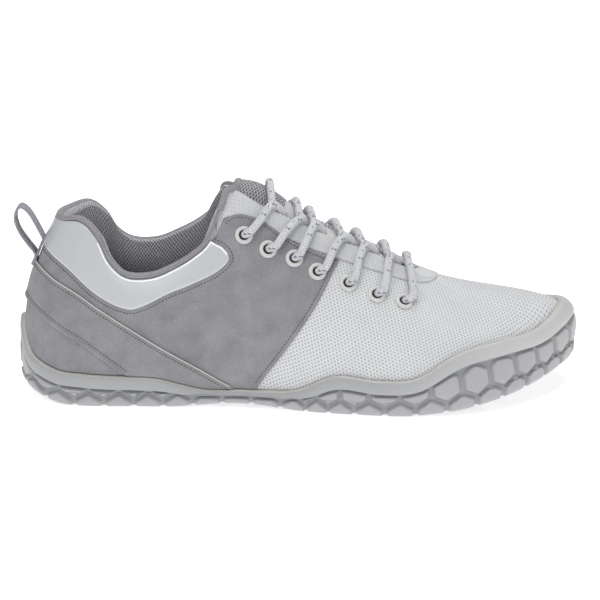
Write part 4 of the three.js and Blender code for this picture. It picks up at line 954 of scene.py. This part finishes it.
def ribbed_material(name, colour, dark, rib_pitch=1.0, cross_pitch=0.95):
    """A ribbed tape: fine dark lines across it and fainter ones along it, as sines of the tape's own UV."""
    material = plain_material(name, colour, 0.8, Sheen_Weight=0.1)
    tree = material.node_tree
    split = tree.nodes.new("ShaderNodeSeparateXYZ")
    tree.links.new(coordinates(tree, "UV"), split.inputs[0])
    across, along = (
        math_node(tree, "SINE", math_node(tree, "MULTIPLY", split.outputs[axis], 2000 * math.pi / pitch))
        for axis, pitch in enumerate((rib_pitch, cross_pitch)))
    tint = placed(tree, GRAIN, coordinates(tree, "UV"), Scale=300.0)
    ribs = math_node(tree, "ADD", math_node(tree, "MULTIPLY", across, 0.34),
                     math_node(tree, "MULTIPLY", along, 0.16))
    shade = math_node(tree, "ADD", math_node(tree, "ADD", ribs, 0.5),
                      math_node(tree, "MULTIPLY", tint.outputs["Value"], 0.5), clamp=True)
    tree.links.new(mixed(tree, shade, dark, colour), tree.nodes["Principled BSDF"].inputs["Base Color"])
    raised(tree, ribs, 0.00018)
    return material


ribbed = ribbed_material("white ribbed tape", (218, 219, 221), (190, 191, 194))
band_grid = panel_grid(band_u, band_low, band_high, BAND_BASE, BAND, middle_rows=14, edge_round=0.5)
along_rim = run_along(last_point(band_u, 1 + 0 * band_u))
rows_across = band_grid.shape[1] // 2
across_band = np.concatenate([np.linspace(0, BAND_WIDTH, rows_across),
                              np.linspace(BAND_WIDTH, 0, rows_across), [0]])
band_uv = np.stack(np.broadcast_arrays(along_rim[:, None], across_band[None, :]), -1)
band = surface_mesh("throat_band", band_grid, False, True, (ribbed,), band_uv)
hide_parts("upper")

TAB_FROM, TAB_TO, TAB_REACH, TAB_BASE, TAB = 16.7, 19.5, 9.5, 0.6, 0.9
tab_u = (TAB_FROM + TAB_TO) / 2 - (TAB_TO - TAB_FROM) / 2 * np.cos(np.linspace(0, np.pi, 90))
tab_side = (2 * tab_u - TAB_FROM - TAB_TO) / (TAB_TO - TAB_FROM)
tab_reach = TAB_REACH * np.clip(1 - tab_side ** 2, 0, 1) ** 0.42 + 0.02
tab_low, tab_high = (share_up(tab_u, down, from_rim=True) for down in (tab_reach, 0 * tab_u))
tab_grid = panel_grid(tab_u, tab_low, tab_high, TAB_BASE, TAB, middle_rows=16, edge_round=1.6)
white_film = plain_material("white bonded film", (216, 217, 220), 0.42)
tab = surface_mesh("throat_tab", tab_grid, False, True, (white_film,))
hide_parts("upper")

# Collar lining
# Soft padding under a dark dimpled spacer mesh lines the collar, rolls over its rim and shows most inside the
# far side. A grey textile binding covers its outer edge and turns over the roll.
COLLAR_END, PAD_FOOT = 10.4, 0.52
PAD_ROLL, PAD_DEEP = 2.6, 5.2
lining_cloth = textile("collar spacer mesh", (196, 194, 199), (104, 102, 108), 1.6, 1.35, 0.44, 0.0004, 0.9)
collar_u = np.linspace(-COLLAR_END, COLLAR_END, 420)
taper = np.clip((COLLAR_END - np.abs(collar_u)) / 2.2, 0, 1)
taper = (0.25 + 0.75 * taper * taper * (3 - 2 * taper))[:, None]
over = (0.3 + 1.2 * np.exp(-(collar_u / 1.2) ** 4))[:, None]
out_share = np.linspace(0, 1, 8)
down_out = over * (1 - out_share)
h_out = share_up(np.repeat(collar_u[:, None], 8, 1), down_out, from_rim=True)
out_rise = 1.0 + 0.5 * np.sqrt(1 - (1 - np.clip(out_share * 3, 0, 1)) ** 2)
out_off = np.broadcast_to(out_rise, h_out.shape)
h_in = np.linspace(1, PAD_FOOT, 40)
s_in = (1 - h_in) / (1 - PAD_FOOT)
pad = PAD_ROLL + (PAD_DEEP - PAD_ROLL) * np.sin(np.pi * np.clip(s_in * 1.1, 0, 1))
pad = np.where(s_in > 0.75, pad * np.sqrt(np.clip(1 - ((s_in - 0.75) / 0.25) ** 2, 0, 1)) + 0.3, pad)
in_off = -(WALL + 0.1) - pad[None, :] * taper
arc = np.linspace(0, np.pi, 13)[1:-1]
top_out, top_in = out_off[:, -1:], in_off[:, :1]
arc_off = (top_out + top_in) / 2 + (top_out - top_in) / 2 * np.cos(arc)
arc_up = (1.0 + 0.3 * np.exp(-(collar_u / 3.0) ** 4))[:, None] * np.sin(arc) * (0.4 + 0.6 * taper)
uu = lambda n: np.repeat(collar_u[:, None], n, 1)
ring_out = on_last(uu(8), h_out, out_off)
ring_arc = on_last(uu(11), 1.0 + 0 * arc_off, arc_off) + arc_up[..., None] * np.array([0, 0, 1.0])
ring_in = on_last(uu(40), np.repeat(h_in[None], len(collar_u), 0), in_off)
ring_back = on_last(uu(6), np.linspace(PAD_FOOT, 0.99, 6)[None] + 0 * uu(6), -WALL - 0.05)
rim_cap = on_last(uu(3), 1.0 + 0 * uu(3), np.linspace(-WALL - 0.05, 0.9, 3)[None] + 0 * uu(3))
start_in = on_last(uu(1), h_out[:, :1], 0.9 + 0 * uu(1))
lining_grid = np.concatenate([ring_out, ring_arc, ring_in, ring_back, rim_cap, start_in], 1)
girth = np.append(run_along(lining_grid[len(collar_u) // 3]), 0)
rim_run = run_along(last_point(collar_u, 1 + 0 * collar_u))
lining_uv = np.stack(np.broadcast_arrays(rim_run[:, None], girth[None, :]), -1)
lining = surface_mesh("collar_lining", lining_grid, False, True, (lining_cloth,), lining_uv)
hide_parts("collar_padding")

binding_cloth = ribbed_material("grey binding", (164, 162, 167), (128, 126, 132), 0.8, 0.9)
BIND_DOWN, BIND, BIND_TURN = 0.7, 0.75, 0.5 * np.pi
bind_down = np.linspace(BIND_DOWN, 0, 8)
bind_rise = BIND * np.sqrt(1 - (1 - np.clip((BIND_DOWN - bind_down) / 0.9, 0, 1)) ** 2)
bind_turn = np.linspace(0, BIND_TURN, 10)[1:]
bind_end = BIND * np.sqrt(1 - np.clip((bind_turn - BIND_TURN + 0.35) / 0.35, 0, 1) ** 2)
bind_arc = arc_up.max(1, keepdims=True)


def binding_side(below, thick):
    """One face of the binding: up the outer edge of the rim, then over the roll of the lining."""
    low = on_last(uu(8), share_up(uu(8), over + bind_down, from_rim=True), 1.45 + below)
    turned = (top_out + top_in) / 2 + ((top_out - top_in) / 2 + thick) * np.cos(bind_turn)
    lifted = ((bind_arc + thick) * np.sin(bind_turn))[..., None] * [0, 0, 1.0]
    return np.concatenate([low, on_last(uu(9), 1.0 + 0 * turned, turned) + lifted], 1)


bind_grid = np.concatenate([binding_side(bind_rise, bind_end), binding_side(-0.2, -0.2)[:, ::-1]], 1)
bind_rows = bind_grid.shape[1] // 2
bind_uv = np.stack(np.broadcast_arrays(rim_run[:, None], np.concatenate(
    [np.linspace(0, 3, bind_rows), np.linspace(3, 0, bind_rows), [0]])[None, :]), -1)
binding = surface_mesh("collar_binding", bind_grid, False, True, (binding_cloth,), bind_uv)
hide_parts("collar_padding")

# At each front corner of the collar the binding runs up the edge, over the corner and down inside it.
CORNER = np.array([  # section, height share, standing out and lift in millimetres
    (9.9, 0.99, 1.6, 0.2), (10.4, 0.995, 1.5, 0.8), (10.8, 1.0, 1.2, 2.2), (11.05, 1.0, 0.6, 3.7),
    (11.15, 1.0, -1.2, 3.4), (11.0, 1.0, -2.8, 1.2), (10.7, 0.96, -3.6, 0.0), (10.4, 0.90, -4.0, 0.0)])
corner_rows = smooth_line(CORNER, 90)
for side, word, lifted in ((1, "outer", 1.0), (-1, "inner", 0.15)):
    turn = on_last(side * corner_rows[:, 0], corner_rows[:, 1], corner_rows[:, 2])
    turn += lifted * corner_rows[:, 3:] * [0, 0, 1.0]
    across_turn = np.broadcast_to(np.array([0.35, -0.9 * side, 0.2]), turn.shape)
    tube(f"corner_binding_{word}", turn, across_turn, 1.7, binding_cloth, "collar_padding",
         sides=14, flat=0.55)

# Tongue
# A padded tongue of dark spacer mesh, white satin lower down, lies arched under the laces.
# Its free top end is edged with a rolled grey binding.
TONGUE = np.array([  # along, crown, half width, fall at the side, padding, and how far the sides lie back
    (0.722, 0.490, 0.190, 0.13, 0.45, 0.000),
    (0.690, 0.570, 0.200, 0.20, 0.55, 0.000),
    (0.630, 0.677, 0.205, 0.24, 0.70, 0.005),
    (0.575, 0.752, 0.205, 0.27, 0.85, 0.010),
    (0.535, 0.810, 0.195, 0.30, 0.95, 0.020),
    (0.497, 0.888, 0.185, 0.32, 1.00, 0.030),
    (0.460, 0.975, 0.170, 0.32, 1.00, 0.035),
    (0.425, 1.030, 0.160, 0.33, 1.00, 0.040),
    (0.390, 1.050, 0.145, 0.33, 0.80, 0.040)])
TONGUE_PAD, TONGUE_WRAP, TONGUE_HALF = 4.2, 1.35, 17.0


def tongue_point(row, share, down):
    """A point across the tongue: half sin(a) to the side and fall (1 - cos a) down, where a is a share of the
    wrap. Down sinks it below the tongue's face."""
    along, crown, half, fall, back = (row[..., k] for k in (0, 1, 2, 3, 5))
    a = share * TONGUE_WRAP
    z = SOLE_THICKNESS + crown * INSTEP_HEIGHT - down - (fall * BALL_WIDTH - down) * (1 - np.cos(a))
    y = (half * BALL_WIDTH - down) * np.sin(a)
    return np.stack([(along - back * share ** 2) * LAST_LENGTH, y, z], -1)


spacer = textile("dark spacer mesh", (178, 176, 181), (88, 86, 92), 1.6, 1.35, 0.44, 0.0005, 0.9)
satin = plain_material("white satin", (206, 205, 204), 0.5, Sheen_Weight=0.2)
t_rows = 8 - 8 * np.cos(np.linspace(0, np.pi / 2, 130))
tongue_rows = spline_rows(TONGUE, 8 - t_rows[::-1])
shares = np.sin(np.linspace(-np.pi / 2, np.pi / 2, 61))
edge_fall = np.sqrt(np.clip(1 - np.clip((np.abs(shares) - 0.86) / 0.14, 0, 1) ** 2, 0, 1))
from_top = (TONGUE[-1, 0] - tongue_rows[:, 0]) * -LAST_LENGTH
top_fall = np.sqrt(np.clip(1 - np.clip(1 - from_top / 3.0, 0, 1) ** 2, 0, 1))
half_pad = TONGUE_PAD * tongue_rows[:, 4] / 2
swell = half_pad[:, None] * edge_fall[None, :] * top_fall[:, None]
rows3 = np.repeat(tongue_rows[:, None], 61, 1)
face = tongue_point(rows3, shares[None, :], half_pad[:, None] - swell)
under = tongue_point(rows3, shares[None, :], half_pad[:, None] + swell)
tongue_grid = np.concatenate([face, under[:, ::-1]], 1)
tongue_run = run_along(face[:, 30])
tongue_across = np.concatenate([shares, shares[::-1], [-1]]) * TONGUE_WRAP * TONGUE_HALF
tongue_uv = np.stack(np.broadcast_arrays(tongue_run[:, None], tongue_across[None, :]), -1)
zone = np.where(tongue_rows[:-1, 0] > 0.478, 1, 0)[:, None]
tongue = surface_mesh("tongue_pad", tongue_grid, False, True, (spacer, satin), tongue_uv, zone)
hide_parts("tongue")

top_share = np.linspace(-0.97, 0.97, 90)
top_row = np.repeat(TONGUE[-1:], 90, 0)
top_line = tongue_point(top_row, top_share, TONGUE_PAD * 0.4)
tongue_up = tongue_point(top_row, top_share, -1.0) - tongue_point(top_row, top_share, 0.0)
tube("tongue_binding", top_line, tongue_up, 2.1, binding_cloth, "tongue", sides=16)

# Insole
# A thin foam footbed with a dark fabric top lies loose on the sole inside the upper.
INSOLE, INSOLE_INSET = 3.0, WALL + 1.2
insole_u = np.linspace(-TOE, TOE, 220, endpoint=False)
inset_edge = lambda uu: last_point(uu, 0 * uu) - outward_of(uu) * INSOLE_INSET
bed_edge = inset_edge(insole_u)
bed_spine = (bed_edge + inset_edge(-insole_u)) / 2
bed_share = np.linspace(0, 1, 16)[None, :, None]
bed = bed_spine[:, None] * (1 - bed_share) + bed_edge[:, None] * bed_share
bed_under = bed[:, ::-3].copy()
bed_edge_round = np.sqrt(1 - np.clip((bed_share[..., 0] - 0.9) / 0.1, 0, 1) ** 2)
bed[..., 2] = floor_line(bed[..., 0]) + CLEAR + INSOLE * bed_edge_round
bed_under[..., 2] = floor_line(bed_under[..., 0]) + CLEAR
bed_grid = np.concatenate([bed, bed_under], 1)
bed_uv = np.pad(bed_grid[..., :2], ((0, 1), (0, 1), (0, 0)), mode="wrap")
footbed = textile("footbed cloth", (130, 128, 132), (104, 102, 107), 1.4, 1.0, 0.5, 0.0002)
insole = surface_mesh("footbed", bed_grid, True, False, (footbed,), bed_uv)
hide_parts("insole")

# Pull loop
# A strip of grey twill webbing is folded into a drop and sewn to the heel over the patch and the strap.
LOOP = [(0.0094, 0.681), (0.0155, 0.73), (0.0018, 0.787), (-0.013, 0.852), (-0.0202, 0.918), (-0.0166, 0.969),
        (-0.006, 0.992), (0.0094, 0.959), (0.0253, 0.879)]
LOOP_WIDTH, LOOP_WEB = 10.0, 1.4
loop_base = on_last(np.zeros(5), np.array([0.80, 0.755, 0.71, 0.665, 0.625]), 1.5)[:, [0, 2]]
loop_line = np.concatenate([loop_base, np.array(LOOP) * (LAST_LENGTH, INSTEP_HEIGHT)])
loop_at = blend(loop_line, np.linspace(0, len(loop_line), 240, endpoint=False))
loop_t = np.roll(loop_at, -1, 0) - np.roll(loop_at, 1, 0)
loop_t /= np.linalg.norm(loop_t, axis=1)[:, None]
loop_n = np.stack([-loop_t[:, 1], loop_t[:, 0]], 1)
loop_n *= np.sign((loop_n * (loop_line.mean(0) - loop_at)).sum(1).mean())
corner_turn = np.linspace(0, 2 * np.pi, 28, endpoint=False)
cross_y = LOOP_WIDTH / 2 * np.sign(np.cos(corner_turn)) * np.abs(np.cos(corner_turn)) ** 0.35
cross_n = LOOP_WEB / 2 * np.sign(np.sin(corner_turn)) * np.abs(np.sin(corner_turn)) ** 0.5 + LOOP_WEB / 2
loop_x, loop_z = (loop_at[:, None, k] + loop_n[:, None, k] * cross_n for k in (0, 1))
loop_grid = np.stack([loop_x, cross_y[None, :] + 0 * loop_x, loop_z], -1)
loop_run = np.linspace(0, run_along(loop_at)[-1], 241)
loop_uv = np.stack(np.broadcast_arrays(loop_run[:, None], np.append(cross_y, cross_y[0])[None, :]), -1)
webbing = ribbed_material("grey webbing", (172, 171, 178), (128, 127, 135), 0.9, 1.1)
loop = surface_mesh("pull_loop_webbing", loop_grid, True, True, (webbing,), loop_uv)
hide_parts("pull_loop")

# Eyelets
# Seven cream enamelled rings a side are pressed into the quarter and the vamp, each round a disc of painted
# shade.
# Columns: section, way below the rim in eyelet depths, what each pair sits on, and where its strands go: the
# sections at which the inner strand crosses its rim, the outer one crosses and holds it, and that one ends.
EYELETS = [
    (11.38, 0.995, "panel", 11.98, 12.10, 12.35),
    (11.95, 1.125, "panel", 12.60, 12.76, 12.86),
    (12.57, 1.080, "panel", 12.95, 13.12, 13.34),
    (13.10, 1.205, "panel", 13.66, 13.94, 14.24),
    (13.88, 1.250, "vamp", 14.35, 14.65, 14.98),
    (14.65, 1.370, "vamp", 15.40, 15.62, 15.92),
    (15.43, 1.420, "vamp", 16.60, 16.60, 16.60)]
EYELET_RADIUS, EYELET_HOLE, EYELET_FLANGE, EYELET_DEPTH = 4.5, 2.5, 1.0, 19.0
enamel = plain_material("cream enamel", (207, 208, 205), 0.35, Coat_Weight=0.2)
# Painted shade: a dark disc fills each hole where its depth would be in shade.
painted_hole_shade = plain_material("painted eyelet hole shade", (48, 46, 48), 0.9)
ring_angle = np.linspace(0, 2 * np.pi, 48, endpoint=False)
lip_turn = np.linspace(0, np.pi, 13)
lip_r = (EYELET_RADIUS + EYELET_HOLE) / 2 - (EYELET_RADIUS - EYELET_HOLE) / 2 * np.cos(lip_turn)
lip_z = EYELET_FLANGE * np.sin(lip_turn) ** 0.75
profile = np.concatenate([np.stack([lip_r, lip_z], 1), [(EYELET_RADIUS, -0.25), (EYELET_HOLE, -0.25)]])
hole_edge = EYELET_HOLE + 0.1
hole_shade_profile = np.array([(0.0, 0.22), (1.4, 0.22), (hole_edge, 0.22), (hole_edge, -0.2), (0.0, -0.2)])


def lathe_on_last(name, outline, u, h, base, material, node):
    """A turned ring that stands on the last: profile (r, z) swept round the surface's normal."""
    centre, n = on_last(u, h, base), last_normal(u, h)
    across = np.cross(n, [0, 0, 1.0])
    across /= np.linalg.norm(across)
    up = np.cross(across, n)
    round_way = np.cos(ring_angle)[:, None] * across + np.sin(ring_angle)[:, None] * up
    grid = centre + round_way[:, None] * outline[None, :, :1] + n * outline[None, :, 1:]
    piece = surface_mesh(name, grid, True, bool(outline[0, 0] > 0), (material,))
    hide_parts(node)


def eyelet_place(number, side):
    """Section, height share and standing height of an eyelet; side is 1 outside and -1 inside."""
    section, down, on = EYELETS[number][:3]
    u = np.array(side * section)
    return u, share_up(u, np.array(down * EYELET_DEPTH), from_rim=True), 1.22 if on == "panel" else 0.35


for number in range(len(EYELETS)):
    for side, word in ((1, "outer"), (-1, "inner")):
        u, h, base = eyelet_place(number, side)
        node = f"eyelet_{word}_{number + 1}"
        lathe_on_last(f"{node}_ring", profile, u, h, base, enamel, node)
        lathe_on_last(f"{node}_painted_hole_shade", hole_shade_profile, u, h, base, painted_hole_shade, node)

# Laces
# A round braided cord comes out of each eyelet, crosses the tongue and dives under the far edge. Between the
# last pair of eyelets it runs straight across, as a bar.
LACE, LACE_RISE, LACE_LIFT, LACE_DOWN, LACE_STANDOFF, LACE_SWING = 4.0, 3.2, 1.5, 8.0, 4.0, 0.6


def braid_material(name):
    """A braided cord: two sets of strands that wind opposite ways, as |sin| of the cord's own UV, and dark
    flecks in one cell in ten."""
    material = plain_material(name, (212, 213, 217), 0.85, Sheen_Weight=0.1)
    tree = material.node_tree
    split = tree.nodes.new("ShaderNodeSeparateXYZ")
    tree.links.new(coordinates(tree, "UV"), split.inputs[0])
    ways = []
    for sign in (1, -1):
        slope = math_node(tree, "ADD", math_node(tree, "MULTIPLY", split.outputs[0], 2000 * math.pi / 1.5),
                          math_node(tree, "MULTIPLY", split.outputs[1], sign * 8000 / LACE))
        wave = math_node(tree, "SINE", math_node(tree, "MULTIPLY", slope, 0.5))
        ways.append(math_node(tree, "ABSOLUTE", wave))
    strands = math_node(tree, "MINIMUM", ways[0], ways[1])
    flecks = tree.nodes.new("ShaderNodeTexVoronoi")
    flecks.voronoi_dimensions = "2D"
    flecks.inputs["Scale"].default_value = 620.0
    tree.links.new(coordinates(tree, "UV"), flecks.inputs["Vector"])
    chosen = tree.nodes.new("ShaderNodeSeparateXYZ")
    tree.links.new(flecks.outputs["Color"], chosen.inputs[0])
    fleck = math_node(tree, "MULTIPLY", math_node(tree, "GREATER_THAN", chosen.outputs[0], 0.9),
                      math_node(tree, "LESS_THAN", flecks.outputs["Distance"], 0.42))
    lit = math_node(tree, "MULTIPLY", strands, 1.6, clamp=True)
    cord_shade = mixed(tree, lit, (186, 186, 191), (218, 219, 223))
    tree.links.new(mixed(tree, fleck, cord_shade, (140, 139, 150)),
                   tree.nodes["Principled BSDF"].inputs["Base Color"])
    raised(tree, strands, 0.00022)
    return material


braid = braid_material("white braided cord")


def tongue_top(x, y):
    """Height of the tongue's face above a place, from the table's rows about it."""
    rows = TONGUE[::-1]
    at = np.clip(x / LAST_LENGTH, rows[0, 0], rows[-1, 0])
    crown, half, fall = (np.interp(at, rows[:, 0], rows[:, k]) for k in (1, 2, 3))
    across = min(1.0, abs(y) / (half * BALL_WIDTH))
    return SOLE_THICKNESS + crown * INSTEP_HEIGHT - fall * BALL_WIDTH * (1 - math.sqrt(1 - across ** 2))


def over_edge(u):
    """A point over the throat's edge, where the cord bends over it."""
    return last_point(u, 1.0) + [0, 0, LACE_RISE]


def across_throat(u, share, rise):
    """A point over the throat, a share of the way from its edge at u to the other, clear of the tongue."""
    at = last_point(u, 1.0) * (1 - share) + last_point(-u, 1.0) * share
    return np.array([at[0], at[1], max(at[2] + rise, tongue_top(at[0], at[1]) + LACE_LIFT + LACE / 2)])


def below_edge(u, inward, drop):
    """A point behind the throat's edge, where a cord's end is out of sight."""
    middle = (last_point(-u, 1.0) - last_point(u, 1.0)) * [1, 1, 0]
    return last_point(u, 1.0) + middle / np.linalg.norm(middle) * inward - [0, 0, drop]


def from_eyelet(number, side, to):
    """The cord's way out of its eyelet: up through the hole, over the ring, and up the panel."""
    u, h, base = eyelet_place(number, side)
    swung = [u + side * (to - abs(u)) * share for share in (0.07, 0.26, LACE_SWING)]
    down = EYELETS[number][1] * EYELET_DEPTH
    up = [share_up(np.array(v), np.array(d), from_rim=True) for v, d in
          zip(swung, (down - 0.8, down - 3.0, LACE_DOWN))]
    heights = (base + 0.7, base + EYELET_FLANGE + LACE * 0.5, LACE_STANDOFF)
    return [on_last(u, h, base - 3.0)] + [on_last(v, w, out) for v, w, out in zip(swung, up, heights)]


def lace(name, points, node):
    """A cord through given points: a Catmull-Rom line with closed ends."""
    line = smooth_line(points, 26 * len(points))
    line, _ = even_path(line, line, 0.5)
    up = np.broadcast_to(np.array([0.35, 0, 1.0]), line.shape)
    tube(name, line, up, LACE / 2, braid, node, sides=20)


for number in range(len(EYELETS) - 1):
    over, hook, tip = EYELETS[number][3:]
    node = f"lace_crossing_{number + 1}"
    between = lambda t: -(over + (hook - over) * t)
    inner_strand = from_eyelet(number, -1, over) + [
        over_edge(-over), across_throat(between(0.4), 0.40, 0.0),
        across_throat(between(0.8), 0.72, 0.5), across_throat(-hook, 0.93, 1.0), below_edge(hook, 3.4, 3.5)]
    outer_strand = from_eyelet(number, 1, hook) + [
        over_edge(hook), across_throat(tip, 0.12, 0.6), below_edge(tip, 4.6, 5.0)]
    lace(f"{node}_inner", inner_strand, node)
    lace(f"{node}_outer", outer_strand, node)
bar = EYELETS[-1][3]
half_bar = {s: from_eyelet(len(EYELETS) - 1, s, bar) + [over_edge(s * bar)] for s in (1, -1)}
lace("lace_bar_cord", half_bar[-1] + [across_throat(bar, 0.5, LACE_RISE)] + half_bar[1][::-1], "lace_bar")
